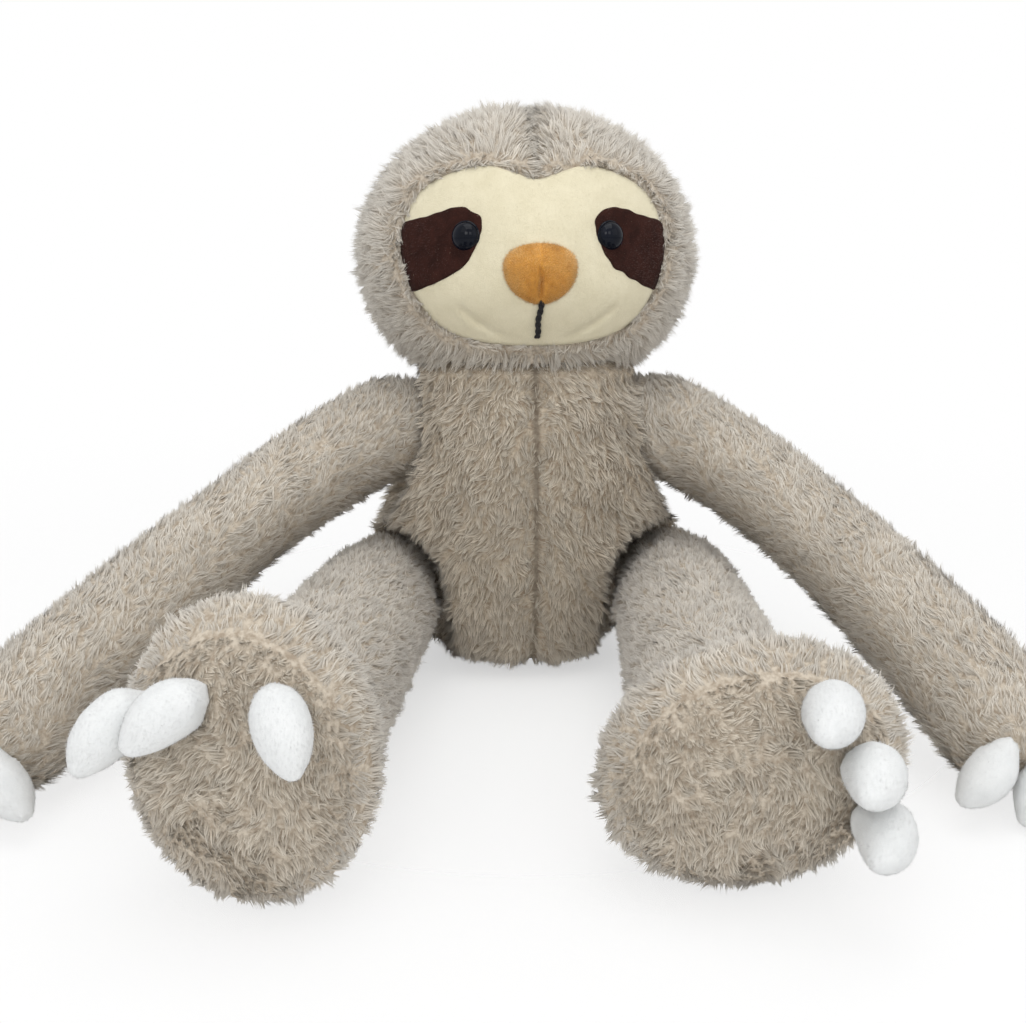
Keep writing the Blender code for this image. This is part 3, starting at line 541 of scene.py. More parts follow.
def grow(name, body, root, normal, comb, length, lift, width, seed, lock=0.0028, cling=0.6,
         swing=0.5, shade=0.5, tufts=0.45):
    """Grow fibres from the given roots, in locks about as wide as lock, a share of them broad tufts."""
    dice = np.random.default_rng(seed)
    count = len(root)
    guides = dice.permutation(count)[:max(8, int(count / (lock * lock * 1e6 * DENSITY)))]
    finder = KDTree(len(guides))
    for i, guide in enumerate(guides):
        finder.insert(root[guide], i)
    finder.balance()
    mine = guides[np.array([finder.find(point)[1] for point in root])]
    lock_swing = dice.normal(0, LOCK_SWING, count)[mine]
    lock_lift = dice.normal(0, LOCK_LIFT, count)[mine]
    lock_length = dice.uniform(0.85, 1.12, count)[mine]
    turned = swing * (waves(root, 0.022, seed + 1) + 0.5 * waves(root, 0.009, seed + 2)) + lock_swing
    broad = dice.random(count) < tufts
    turned = turned + dice.normal(0, HAIR_SWING, count)
    raised = lift * np.where(broad, TUFT_LIFT, 1.0) + lock_lift + dice.normal(0, HAIR_LIFT, count)
    way = lay(normal, comb, turned, np.clip(raised, 0.05, 1.5))
    length = length * lock_length * dice.uniform(0.80, 1.08, count) * np.where(broad, TUFT_LENGTH, 1.0)
    tip = root + way * length[:, None]
    hold = (cling * dice.uniform(0.5, 1.2, count)[mine])[:, None]
    tip += (tip[mine] - tip) * hold * dice.uniform(0.6, 1.1, count)[:, None]
    tip[:, 2] = np.maximum(tip[:, 2], LOWEST_TIP)
    side = unit(np.cross(normal, tip - root))
    tone = shade + 0.13 * waves(root, 0.030, seed + 3) + 0.10 * waves(root, 0.008, seed + 4) \
        + 0.12 * dice.normal(0, 1, count)[mine] + 0.06 * dice.normal(0, 1, count)
    mesh = fibre_mesh(name, root - normal * ROOT_DEPTH, tip, side, normal,
                      width * dice.uniform(0.8, 1.2, count) * np.where(broad, TUFT_WIDTH, HAIR_WIDTH),
                      np.clip(tone, 0.05, 0.95), np.where(broad, TUFT_SPREAD, HAIR_SPREAD))
    fur = add_object(name, mesh)
    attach(fur, body)
    print(name, count, "fibres,", 4 * count, "triangles")
    return fur


# %% [markdown]
# The pile's finish reads only its own map: how far along the fibre a point is, and how pale that fibre is.

# %% Finishes for the pile
def pile_finish(name, root, middle, tip, contrast=1.0):
    """Brown at the root and pale at the tip, with paler and darker fibres."""
    recipe = Recipe(name, roughness=0.85, sheen=0.25)
    chart = recipe.node('ShaderNodeUVMap', {'uv_map': "OFBake"})
    along = recipe.node('ShaderNodeSeparateXYZ', None, {0: chart})
    grid = recipe.node('ShaderNodeVectorMath', {'operation': 'MULTIPLY'}, {0: chart, 1: (1.5, 110, 1)})
    streaks = recipe.noise(1.0, detail=1, place=grid)
    level = 1.0 - 0.38 * contrast + (along.output(1) * 0.44 + streaks * 0.32) * contrast
    recipe.paint(recipe.scaled(recipe.ramp(along, [(0.0, root), (0.5, middle), (1.0, tip)]), level))
    return recipe


def under_pile(name, low, high, middle=1.0):
    """The cloth between the fibres: mottled like the short pile that hides it, with painted shade down a middle
    seam.
    """
    recipe = Recipe(name, roughness=0.95)
    tone = recipe.noise(0.004, detail=3) * 0.4 + recipe.noise(0.0016, detail=2) * 0.6
    place = recipe.node('ShaderNodeSeparateXYZ', None, {0: recipe.place()})
    aside = place.maths('ABSOLUTE', 0.0) + place.output(1).maths('MAXIMUM', 0.0)
    # Painted shade: within a few millimetres of the front middle seam the cloth is drawn darker, down to the
    # middle level, as the groove's shadow.
    seam = recipe.ease(aside, 0.0004, 0.0030, low=middle)
    recipe.paint(recipe.scaled(recipe.ramp(tone, [(0.38, low), (0.60, high)]), seam),
                 bump=recipe.noise(0.0012), strength=0.6)
    return recipe


# The four piles are one plush, apart from small shifts of hue. The limb pile is painted paler, as painted light
# on limbs that their neighbours shade. The torso, hood and sole piles are painted darker, as painted shade,
# each set to the brightness its part should show.
grey_pile = pile_finish("grey_plush_pile", (0.38, 0.305, 0.22), (0.64, 0.555, 0.44), (0.86, 0.80, 0.68))
limb_pile = pile_finish("limb_plush_pile", (0.414, 0.354, 0.276), (0.603, 0.543, 0.46),
                        (0.764, 0.727, 0.649), contrast=0.8)
hood_pile = pile_finish("hood_plush_pile", (0.449, 0.387, 0.31), (0.635, 0.578, 0.492),
                        (0.812, 0.774, 0.697), contrast=0.7)
sole_pile = pile_finish("sole_plush_pile", (0.33, 0.265, 0.195), (0.53, 0.46, 0.365), (0.74, 0.68, 0.58))
# The torso backing gets painted seam shade, at half brightness down its front middle seam.
torso_backing = under_pile("torso_backing", (0.34, 0.265, 0.19), (0.56, 0.48, 0.37), middle=0.5)
pale_backing = under_pile("pale_backing", (0.35, 0.285, 0.215), (0.58, 0.51, 0.415))
for name, bag in bags.items():
    wear(bag, torso_backing if name == "torso_bag" else pale_backing)

# %% [markdown]
# ## Combing
# The pile runs down the body. On the head it is brushed away from the face, and on the limbs it is stroked
# back towards the body, as in the photograph, where it shows its smooth pale side. The soles are ruffled,
# because they were stroked in every direction.

# %% Which way the pile lies
DENSITY = 1.16  # fibres on a square millimetre
PARTING_WIDTH, GROOVE_WIDTH, CROWN_Z = 0.0045, 0.012, 0.22
pivots = {joint["name"]: np.array(joint["pos_m"], float) for joint in frame["joints"]}


def middle_of(*names):
    boxes = [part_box(n) for n in names]
    return (np.min([b[0] for b in boxes], axis=0) + np.max([b[1] for b in boxes], axis=0)) / 2


def torso_comb(points, normals):
    comb = np.tile((0.0, 0.0, -1.0), (len(points), 1))
    comb[:, 0] += 0.35 * np.tanh(points[:, 0] / 0.02)
    parting = np.exp(-(points[:, 0] / PARTING_WIDTH) ** 2) * (points[:, 1] < 0)
    comb[:, 0] += 0.8 * parting * np.sign(points[:, 0])
    return comb

FACE_CENTRE = middle_of("face_panel") + np.array((0, 0.02, 0.0))


def head_comb(points, normals):
    away = points - FACE_CENTRE
    away[:, 1] *= 0.7
    back = np.clip((points[:, 1] + 0.01) / 0.05, 0, 1)[:, None]
    comb = unit(away) * (1 - back) + np.array((0, 0.1, -1.0)) * back
    groove = np.exp(-(points[:, 0] / GROOVE_WIDTH) ** 2) * (points[:, 1] < 0) * (points[:, 2] > CROWN_Z)
    comb[:, 0] -= 1.2 * groove * np.sign(points[:, 0])
    comb[:, 2] -= 0.9 * groove
    return comb


def limb_line(limb, joint):
    """Where a limb starts, the step from there to its claws, and that step's direction."""
    step = middle_of(*nodes_with(limb + "_claw")) - pivots[joint]
    return pivots[joint], step, unit(step[None, :])[0]


def limb_comb(limb, joint):
    way = limb_line(limb, joint)[2]
    stroke = -way + (0, 0, -0.25) if limb.startswith("leg") else -0.5 * way + (0, 0.45, 0.45)
    return lambda points, normals: np.tile(stroke, (len(points), 1))


def sole_comb(points, normals):
    ways = [waves(points, 0.045, seed) for seed in (5, 6, 8)]
    return 0.9 * np.stack(ways, axis=1) + np.array((0.15, 0, -0.75))


# %% Grow the pile of a bag, panel by panel
PILE_WIDTH, WIDER = 0.00019, 1.16
# The second reach is that of the painted seam shade: fibres drawn darker where a seam's groove lies in shadow.
SEAM_REACHES = 0.0030, 0.0022, 0.0012  # of the shortened, the darkened and the thinned pile
RIM_FROM, RIM_WIDTH = 0.0012, 0.0022


def furnish(bag, body, panels, others, comb, length, lift, seed, finish=grey_pile, bare=None, parts=None,
            darker=0.25, **habits):
    """Fur on every panel of a bag, with painted shade that darkens it by its seams. A dictionary gives each
    panel a value of its own.
    """
    root, normal = scatter(bags[bag], DENSITY, seed)
    if bare is not None:
        furry = ~bare(root)
        root, normal = root[furry], normal[furry]
    table = np.stack([distances(root, tree_of([name]), 0.03) for name in panels])
    label, order = table.argmin(axis=0), np.sort(table, axis=0)
    apart = order[1] - order[0] if len(panels) > 1 else np.full(len(root), 1.0)
    seam, painted_seam_shade, parted = (np.exp(-(apart / reach) ** 2) for reach in SEAM_REACHES)
    room = distances(root, tree_of(others), 0.02)
    socket = np.clip(1 - (room - RIM_FROM) / RIM_WIDTH, 0, 1)
    dice = np.random.default_rng(seed + 50)
    keep = dice.random(len(root)) > np.maximum(0.65 * socket, 0.6 * darker * parted)
    for number, name in enumerate(panels):
        def own(value):
            return value[name] if isinstance(value, dict) else value

        mine = keep & (label == number)
        for part, chosen in (parts or {}).get(name, [(name, lambda p: np.ones(len(p), bool))]):
            some = mine.copy()
            some[mine] = chosen(root[mine])
            spots, facing = root[some], normal[some]
            reach = own(length) * (1 - 0.62 * socket[some]) * (1 - 0.22 * seam[some])
            # Painted shade: fibres near a seam get a lower shade, so they are drawn darker, as the shadow in
            # the seam's groove.
            fur = grow(part + "_pile", body, spots, facing, own(comb)(spots, facing), reach,
                       own(lift) * (1 - 0.55 * socket[some]), PILE_WIDTH / DENSITY ** 0.5 * WIDER,
                       seed + 7 * number, shade=0.5 - darker * painted_seam_shade[some],
                       **{habit: own(value) for habit, value in habits.items()})
            wear(fur, own(finish))
            "sole_plush" if "sole" in name else "grey_plush"
            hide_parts(name)

# %% [markdown]
# ## The face
# The face is one panel of cream cloth with a very short pile, stretched over the stuffed head. Two brown
# patches, two plastic eyes, a stuffed nose and a stitched line sit on it. All of them follow the same curved
# surface, so that surface is written once as a formula: the ball of the head, a low muzzle, and the small
# hills and valleys that stuffing and thread give the cloth.

# %% The surface that everything on the face follows
head_high = np.array(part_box("hood_left")[1])
face_low, face_high = (np.array(corner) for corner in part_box("face_panel"))
FACE_DEPTH = 0.0045
HEAD_MIDDLE_Z = 0.191
MUZZLE_Z, MUZZLE_RISE, MUZZLE_SPREAD = 0.181, 0.009, 0.024
ball = head_high - (0, 0, HEAD_MIDDLE_Z) - FACE_DEPTH


def hill(x, z, at, spread):
    """A round hill of height one."""
    return np.exp(-((x - at[0]) / spread[0]) ** 2 / 2 - ((z - at[1]) / spread[1]) ** 2 / 2)


def valley(x, z, points, width):
    """One along a bent line, fading beside it and towards its ends."""
    best = np.zeros_like(x)
    for (x0, z0, d0), (x1, z1, d1) in zip(points, points[1:]):
        long = (x1 - x0) ** 2 + (z1 - z0) ** 2
        t = np.clip(((x - x0) * (x1 - x0) + (z - z0) * (z1 - z0)) / long, 0, 1)
        gap = (x - x0 - t * (x1 - x0)) ** 2 + (z - z0 - t * (z1 - z0)) ** 2
        best = np.maximum(best, (d0 + t * (d1 - d0)) * np.exp(-gap / (2 * width ** 2)))
    return best


SMILE = ((0.0345, 0.1745, 0.0), (0.0310, 0.1712, 0.8), (0.0265, 0.1675, 1.0), (0.0220, 0.1645, 0.8),
         (0.0150, 0.1612, 0.35), (0.0080, 0.1592, 0.0))
MOUTH_TOP, MOUTH_END = 0.1775, 0.1600
MOUTH_VALLEY = ((0, MOUTH_TOP, 1.0), (0, 0.162, 1.0), (0, 0.153, 0.6))
CHEEK = 0.0022, (0.034, 0.1760), (0.012, 0.009)  # height, place and spread
BROW = 0.0012, (0.026, 0.2210), (0.015, 0.009)
FOREHEAD = 0.0010, (0, 0.2290), (0.006, 0.010)
eye_spots = {side: (side * 0.030, HEAD_MIDDLE_Z + 0.011) for side in (-1, 1)}


def relief(x, z):
    """Stuffing pushes the cheeks and brow out; thread and eye stems pull the cloth in."""
    rise = np.zeros_like(x)
    for side in (-1, 1):
        for height, (at_x, at_z), spread in (CHEEK, BROW):
            rise += height * hill(x, z, (side * at_x, at_z), spread)
        rise -= 0.0019 * valley(side * x, z, SMILE, 0.0012)
        rise -= 0.0010 * hill(x, z, eye_spots[side], (0.008, 0.008))
    rise -= 0.0012 * valley(x, z, MOUTH_VALLEY, 0.0026)
    rise -= FOREHEAD[0] * hill(x, z, *FOREHEAD[1:])
    return rise


def face_y(x, z):
    """How far forward the cream cloth lies."""
    round_part = 1 - (x / ball[0]) ** 2 - ((z - HEAD_MIDDLE_Z) / ball[2]) ** 2
    front = -ball[1] * np.sqrt(np.maximum(round_part, 0.03))
    muzzle = MUZZLE_RISE * np.exp(-(x ** 2 + (z - MUZZLE_Z) ** 2) / (2 * MUZZLE_SPREAD ** 2))
    return front - muzzle * np.minimum(1, -front / MUZZLE_SPREAD) - relief(x, z)


def on_face(x, z, out=0.0):
    """Points on the cloth, or a little out of it along its slope."""
    step = 0.0004
    y = face_y(x, z)
    slope_x = (face_y(x + step, z) - y) / step
    slope_z = (face_y(x, z + step) - y) / step
    facing = unit(np.stack([slope_x, -np.ones_like(x), slope_z], axis=-1).reshape(-1, 3))
    return np.stack([x, y, z], axis=-1) + facing * np.reshape(out, (-1, 1))


front = float(face_y(np.zeros(1), np.array([MUZZLE_Z]))[0])
print("the face reaches forward to y =", round(1000 * front, 1), "mm")

# %% [markdown]
# A panel of cloth starts as a circle. Extruding its rim inwards ring by ring gives a disc of even squares,
# and moving each ring onto a shrunken copy of the panel's outline gives the panel, already on the face.

# %% A disc of rings, and an outline to stretch it over
def ringed_disc(name, spokes, rings):
    """A flat disc of radius one, made by extruding a circle towards its middle."""
    deselect()
    bpy.ops.mesh.primitive_circle_add(vertices=spokes, radius=1, fill_type='NOTHING')
    disc = bpy.context.object
    disc.name = name
    bpy.ops.object.mode_set(mode='EDIT')
    bpy.ops.mesh.select_all(action='SELECT')
    for ring in range(rings, 1, -1):
        bpy.ops.mesh.extrude_region_move()
        shrink = (ring - 1) / ring
        bpy.ops.transform.resize(value=(shrink, shrink, 1), center_override=(0, 0, 0))
    bpy.ops.mesh.extrude_region_move()
    bpy.ops.mesh.merge(type='CENTER')
    bpy.ops.object.mode_set(mode='OBJECT')
    return disc


def round_curve(corners, share):
    """A closed smooth curve through corners, at shares of its way round."""
    corners = np.array(corners)
    count = len(corners)
    steps = np.linalg.norm(np.roll(corners, -1, axis=0) - corners, axis=1)
    starts = np.concatenate([[0], np.cumsum(steps)])
    place = (share % 1.0) * starts[-1]
    i = np.minimum(np.searchsorted(starts, place, side='right') - 1, count - 1)
    t = ((place - starts[i]) / steps[i])[:, None]
    a, b, c, d = (corners[(i + k) % count] for k in (-1, 0, 1, 2))
    return 0.5 * (2 * b + (c - a) * t + (2 * a - 5 * b + 4 * c - d) * t ** 2 + (3 * b - a - 3 * c + d) * t ** 3)


def stretch_over(disc, corners, middle):
    """The (x, z) and ring share of each point of a disc stretched over an outline."""
    flat = points_of(disc.data)
    ring = np.hypot(flat[:, 0], flat[:, 1])
    rim = round_curve(corners, np.arctan2(flat[:, 1], flat[:, 0]) / (2 * np.pi))
    spot = np.array(middle) + ring[:, None] * (rim - np.array(middle))
    return spot[:, 0], spot[:, 1], ring


def tucked(share):
    """How deep the rim of the cloth dives under the hood's seam."""
    return -0.0030 * np.clip((share - 0.90) / 0.10, 0, 1) ** 2


def finish_cloth(sheet, thick):
    """Turn a sheet's faces forwards, give it a thickness behind, and let it ride."""
    if sum(p.normal.y for p in sheet.data.polygons) > 0:
        sheet.data.flip_normals()
    wall = sheet.modifiers.new("cloth", 'SOLIDIFY')
    wall.thickness = thick
    wall.offset = -1
    apply_modifiers(sheet)
    bpy.ops.object.shade_smooth()
    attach(sheet, "head")


# %% The cream panel
HALF_SHARES = ((0.42, 0.02), (0.72, 0.10), (0.91, 0.28), (1.0, 0.52), (0.97, 0.72), (0.84, 0.87),
               (0.62, 0.96), (0.38, 1.0), (0.18, 0.965))
PEAK, CREAM_THICK = 0.0058, 0.0012
face_size = face_high - face_low


def face_corner(share_x, share_z, side):
    return side * share_x * face_high[0], face_low[2] + share_z * face_size[2]


face_corners = [face_corner(0, 0, 1)] + [face_corner(*share, 1) for share in HALF_SHARES]
face_corners += [(0.0, face_high[2] - PEAK)] + [face_corner(*share, -1) for share in reversed(HALF_SHARES)]
face_middle = (0.0, HEAD_MIDDLE_Z)
cream_face = ringed_disc("cream_face", 200, 56)
x, z, ring = stretch_over(cream_face, face_corners, face_middle)
move_points(cream_face.data, on_face(x, z, tucked(ring)))
finish_cloth(cream_face, CREAM_THICK)
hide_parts("face_panel")
print("cream panel", [round(1000 * float(s), 1) for s in face_size], "mm")

# %% [markdown]
# Each brown patch is a piece of the same cloth laid flat on the cream. Its outer end runs under the fur, so
# there its outline is held just inside the cream panel's own.

# %% The brown eye patches
PATCH_SHARES = ((0, 0.22), (0.06, 0.05), (0.24, 0), (0.52, 0.10), (0.98, 0.27), (1, 0.62), (0.90, 0.97),
                (0.74, 1), (0.46, 0.86), (0.15, 0.62))
PATCH_START, PATCH_TOP, PATCH_THICK = 0.0235, 0.2135, 0.0006
PATCH_LENGTH, PATCH_HEIGHT, PATCH_RISE = 0.043, 0.036, 0.0007
patches = []
rim_steps = round_curve(face_corners, np.arange(720) / 720) - np.array(face_middle)
rim_angle, rim_reach = np.arctan2(rim_steps[:, 1], rim_steps[:, 0]), np.hypot(*rim_steps.T)


def held_inside(x, z, most):
    """Pull points that pass the cream panel's rim back inside it."""
    step_x, step_z = x - face_middle[0], z - face_middle[1]
    reach = np.interp(np.arctan2(step_z, step_x), rim_angle, rim_reach, period=2 * np.pi)
    share = np.hypot(step_x, step_z) / reach
    pull = np.minimum(1, most / np.maximum(share, 1e-6))
    return face_middle[0] + step_x * pull, face_middle[1] + step_z * pull, share * pull


def rim_share(points):
    """How far out on the cream panel points lie, where its rim is one."""
    return held_inside(points[:, 0], points[:, 2], np.inf)[2]


for side, node in ((1, "eye_patch_left"), (-1, "eye_patch_right")):
    corners = [(side * (PATCH_START + PATCH_LENGTH * a), PATCH_TOP - PATCH_HEIGHT * b)
               for a, b in PATCH_SHARES]
    patch = ringed_disc("brown_" + node, 120, 26)
    x, z, ring = stretch_over(patch, corners, np.mean(corners, axis=0))
    wobble = waves(np.stack([x, z, 0 * x], axis=1), 0.006, 71)
    wobble = 0.00022 * np.clip((ring - 0.8) / 0.2, 0, 1) * wobble
    x, z, share = held_inside(x + wobble, z + wobble, 0.992)
    edge = PATCH_RISE * (1 - 0.75 * np.clip((ring - 0.94) / 0.06, 0, 1) ** 2)
    move_points(patch.data, on_face(x, z, tucked(share) + edge))
    finish_cloth(patch, PATCH_THICK)
    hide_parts(node)
    patches.append(patch)
    print(patch.name, len(patch.data.polygons), "faces")

# %% [markdown]
# A safety eye is a glossy dome moulded with a small flat collar and a ribbed stem, which goes through the
# cloth. We start with a sphere, press everything below the collar into a thin disc, and add the stem's rings
# as separate short cylinders, which the head hides.

# %% The two safety eyes
EYE_RADIUS, EYE_RISE, EYE_OUT = 0.006, 0.0046, 0.0003
COLLAR_RADIUS, COLLAR_THICK = 0.0064, 0.0007
STEM_RADIUS, STEM_LENGTH, RIB_STEP = 0.0019, 0.010, 0.0016
eyes = []
for side, node in ((1, "eye_left"), (-1, "eye_right")):
    x, z = eye_spots[side]
    spot = Vector(on_face(np.array([x]), np.array([z]))[0])
    out = Vector((spot.x, spot.y, (z - HEAD_MIDDLE_Z) / 2)).normalized()
    turn = out.to_track_quat('Z', 'Y').to_matrix().to_4x4()
    deselect()
    bpy.ops.mesh.primitive_uv_sphere_add(segments=64, ring_count=48, radius=1)
    eye = bpy.context.object
    eye.name = "dome_" + node
    sphere = points_of(eye.data)
    up = sphere[:, 2]
    dome = sphere * np.array((EYE_RADIUS, EYE_RADIUS, EYE_RISE))
    under = up < -0.02
    dome[under, 2] = -COLLAR_THICK * np.clip(-up[under] * 8, 0, 1)
    dome[:, :2] *= np.where(up < 0.06, COLLAR_RADIUS / EYE_RADIUS, 1.0)[:, None]
    move_points(eye.data, dome)
    for number in range(int(STEM_LENGTH / RIB_STEP)):
        low = -COLLAR_THICK - RIB_STEP * (number + 0.5)
        bpy.ops.mesh.primitive_cone_add(vertices=20, radius1=STEM_RADIUS, radius2=STEM_RADIUS * 0.8,
                                        depth=RIB_STEP, location=(0, 0, low))
        eye.select_set(True)
        bpy.context.view_layer.objects.active = eye
        bpy.ops.object.join()
        deselect()
    eye.data.transform(Matrix.Translation(spot + out * EYE_OUT) @ turn)
    select_only(eye)
    bpy.ops.object.shade_smooth_by_angle(angle=math.radians(35))
    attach(eye, "head")
    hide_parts(node)
    eyes.append(eye)
    print(eye.name, "at", [round(1000 * c, 1) for c in spot], "mm")

# %% [markdown]
# The nose is a small stuffed cushion. A line of gathering stitches pulls it in from its lower edge to its
# middle, so it gets a sharp valley there and two round lobes beside it.

# %% The nose
nose_low, nose_high = (np.array(corner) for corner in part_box("nose"))
nose_middle = (nose_low + nose_high) / 2
NOSE_HALF = np.array((0.0160, 0.0095, 0.0132))
GATHER_WIDTH, GATHER_DEPTH = 0.0010, 0.0017
NOSE_UP, NOSE_DOWN = 0.0108, 0.0156
NOSE_PILE = 0.0006
deselect()
bpy.ops.mesh.primitive_uv_sphere_add(segments=128, ring_count=96, radius=1)
nose = bpy.context.object
nose.name = "stuffed_nose"
unit_ball = points_of(nose.data)[:, [0, 2, 1]] * np.array((1, -1, 1))
squared = np.sign(unit_ball) * np.abs(unit_ball) ** np.array((0.94, 1.0, 0.90))
shaped = squared * (NOSE_HALF - NOSE_PILE)
shaped[:, 2] = squared[:, 2] * (np.where(unit_ball[:, 2] > 0, NOSE_UP, NOSE_DOWN) - NOSE_PILE)
shaped[:, 0] *= 1 - 0.10 * np.clip(-unit_ball[:, 2], 0, 1) ** 2
down = np.clip(0.1 - unit_ball[:, 2], 0, 1)
pull = np.exp(-(shaped[:, 0] / GATHER_WIDTH) ** 2)
pull *= np.minimum(1, down / 0.5) * np.minimum(1, (1.1 - down) / 0.3)
pull += 0.5 * np.exp(-(shaped[:, 0] / (3.5 * GATHER_WIDTH)) ** 2) * np.sin(np.pi * down)
shaped -= unit_ball * (GATHER_DEPTH * pull)[:, None]
nose_spot = on_face(np.zeros(1), nose_high[2:3] - NOSE_UP)[0]
move_points(nose.data, shaped + nose_spot + np.array((0, NOSE_HALF[1] - (nose_spot[1] - nose_low[1]), 0)))
select_only(nose)
bpy.ops.object.mode_set(mode='EDIT')
bpy.ops.mesh.select_all(action='SELECT')
bpy.ops.mesh.normals_make_consistent(inside=False)
bpy.ops.object.mode_set(mode='OBJECT')
bpy.ops.object.shade_smooth()
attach(nose, "head")
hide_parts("nose")
print("nose box", [[round(1000 * float(c), 1) for c in corner] for corner in (nose_low, nose_high)])

# %% [markdown]
# The mouth is one line of thick embroidery thread that runs down from the nose. Two plies are wound round
# each other, so it catches the light as a twisted thread does.

# %% The stitched mouth
PLY_RADIUS, PLY_SWING, TWIST_LENGTH = 0.00080, 0.00050, 0.0056
MOUTH_POINTS = 90
share = np.linspace(0, 1, MOUTH_POINTS)
thread_x = 0.0004 - 0.0011 * share + 0.00035 * np.sin(share * 9)
thread_z = MOUTH_TOP + (MOUTH_END - MOUTH_TOP) * share
dive = -0.0018 * np.clip((share - 0.90) / 0.10, 0, 1) ** 2
middle_line = on_face(thread_x, thread_z, 0.0007 + dive)
plies = []
for number in (0, 1):
    turns = 2 * np.pi * (share * (MOUTH_TOP - MOUTH_END) / TWIST_LENGTH + number / 2)
    line = middle_line + np.stack([np.cos(turns), np.sin(turns), 0 * turns], axis=1) * PLY_SWING
    curve = bpy.data.curves.new("mouth_ply", 'CURVE')
    curve.dimensions = '3D'
    curve.bevel_depth, curve.bevel_resolution = PLY_RADIUS, 4
    curve.use_fill_caps = True
    spline = curve.splines.new('POLY')
    spline.points.add(MOUTH_POINTS - 1)
    spline.points.foreach_set("co", np.hstack([line, np.ones((MOUTH_POINTS, 1))]).astype(np.float32).ravel())
    plies.append(add_object("mouth_ply", curve))
deselect()
for ply in plies:
    ply.select_set(True)
bpy.context.view_layer.objects.active = plies[0]
bpy.ops.object.convert(target='MESH')
bpy.ops.object.join()
mouth = bpy.context.object
mouth.name = "twisted_mouth_thread"
bpy.ops.object.shade_smooth()
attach(mouth, "head")
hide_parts("mouth_stitch")
print("mouth thread", len(mouth.data.polygons), "faces")

# %% [markdown]
# ## The claws
# Each claw is a little horn of white fleece, packed hard. Its CAD horn is remeshed finely, smoothed until its
# facets are gone, and blown up again as the bags were, held at its root.

# %% Stuff the claws
CLAW_GRAIN, CLAW_CAP, CLAW_FLOOR = 0.0012, 0.0012, 0.0004
CLAW_STUFFING, CLAW_SINK = 0.0012, 0.0052
CLAW_START, CLAW_FAT, CLAW_THIN, CLAW_ROUND = 0.16, 1.22, 0.18, 0.16


def plump(points, root):
    """Fatten a claw at its root and start it later along its own bent middle line."""
    axis = unit((points[root < 0.1].mean(axis=0) - points[root > 0.3].mean(axis=0))[None, :])[0]
    along = points @ axis
    share = (along - along.min()) / (along.max() - along.min())
    bend = np.polyfit(share, points, 2)

    def middle(s):
        return bend[0] * s[:, None] ** 2 + bend[1] * s[:, None] + bend[2]
    later = CLAW_START + (1 - CLAW_START) * share
    rounding = np.sqrt(1 - np.clip(1 - share / CLAW_ROUND, 0, 0.97) ** 2)
    fat = (CLAW_FAT - CLAW_THIN * share) * rounding
    return middle(later) + (points - middle(share)) * fat[:, None]


claws = {}
for limb, (body, joint) in LIMBS.items():
    limb_tree = tree_of([n for n in (limb + "_skin", limb + "_sole_panel") if n in nodes])
    for node in nodes_with(limb + "_claw"):
        claw = make_skin(node.replace("claw", "fleece_claw"), [node], CLAW_GRAIN)
        smooth_out(claw, 34)
        root = np.clip(1 - distances(points_of(claw.data), limb_tree, 0.02) / 0.0030, 0, 1)
        blow_up(claw, root, CLAW_CAP)
        fatter = plump(points_of(claw.data) + normals_of(claw.data) * CLAW_STUFFING, root)
        inwards = [-limb_tree.find_nearest(Vector(point))[1] for point in fatter]
        fatter += np.array(inwards) * CLAW_SINK * (root ** 0.5)[:, None]
        fatter[:, 2] = np.maximum(fatter[:, 2], CLAW_FLOOR)
        move_points(claw.data, fatter)
        smooth_out(claw, 14)
        finer = claw.modifiers.new("finer", 'SUBSURF')
        finer.levels = finer.render_levels = 1
        apply_modifiers(claw)
        bpy.ops.object.shade_smooth()
        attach(claw, body)
        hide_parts(node)
        claws[node] = claw
print(len(claws), "claws of", len(claw.data.polygons), "faces or so")

# %% [markdown]
# ## Finishes of the face and the claws
# Cream and brown are the same short velvet: a fine grain in the normal, soft mottling where the pile was
# touched, and a sheen at its edges. Fleece is coarser, with small curls. The eyes are polished plastic.

# %% Short pile, fleece, plastic and thread
def velvet(name, low, high, grain, mottle, sheen, strength=0.5):
    """Short pile: mottled in colour, finely grained in its normal."""
    recipe = Recipe(name, roughness=0.92, sheen=sheen)
    recipe.shader.inputs["Specular IOR Level"].default_value = 0.15
    specks = recipe.noise(grain, detail=2)
    tone = recipe.noise(mottle, detail=3, roughness=0.6) * 0.7 + specks * 0.3
    recipe.paint(recipe.ramp(tone, [(0.30, low), (0.70, high)]),
                 bump=specks * 0.7 + recipe.noise(grain * 5, detail=2) * 0.6,
                 strength=strength, distance=0.0004)
    return recipe


def two_tone(name, roughness, grain, low, high, gloss=0.5, bumps=None, strength=0.15):
    """A hard finish that runs between two near colours."""
    recipe = Recipe(name, roughness=roughness)
    recipe.shader.inputs["Specular IOR Level"].default_value = gloss
    recipe.paint(recipe.ramp(recipe.noise(grain), [(0.3, low), (0.7, high)]),
                 bump=bumps and recipe.noise(bumps), strength=strength)
    return recipe


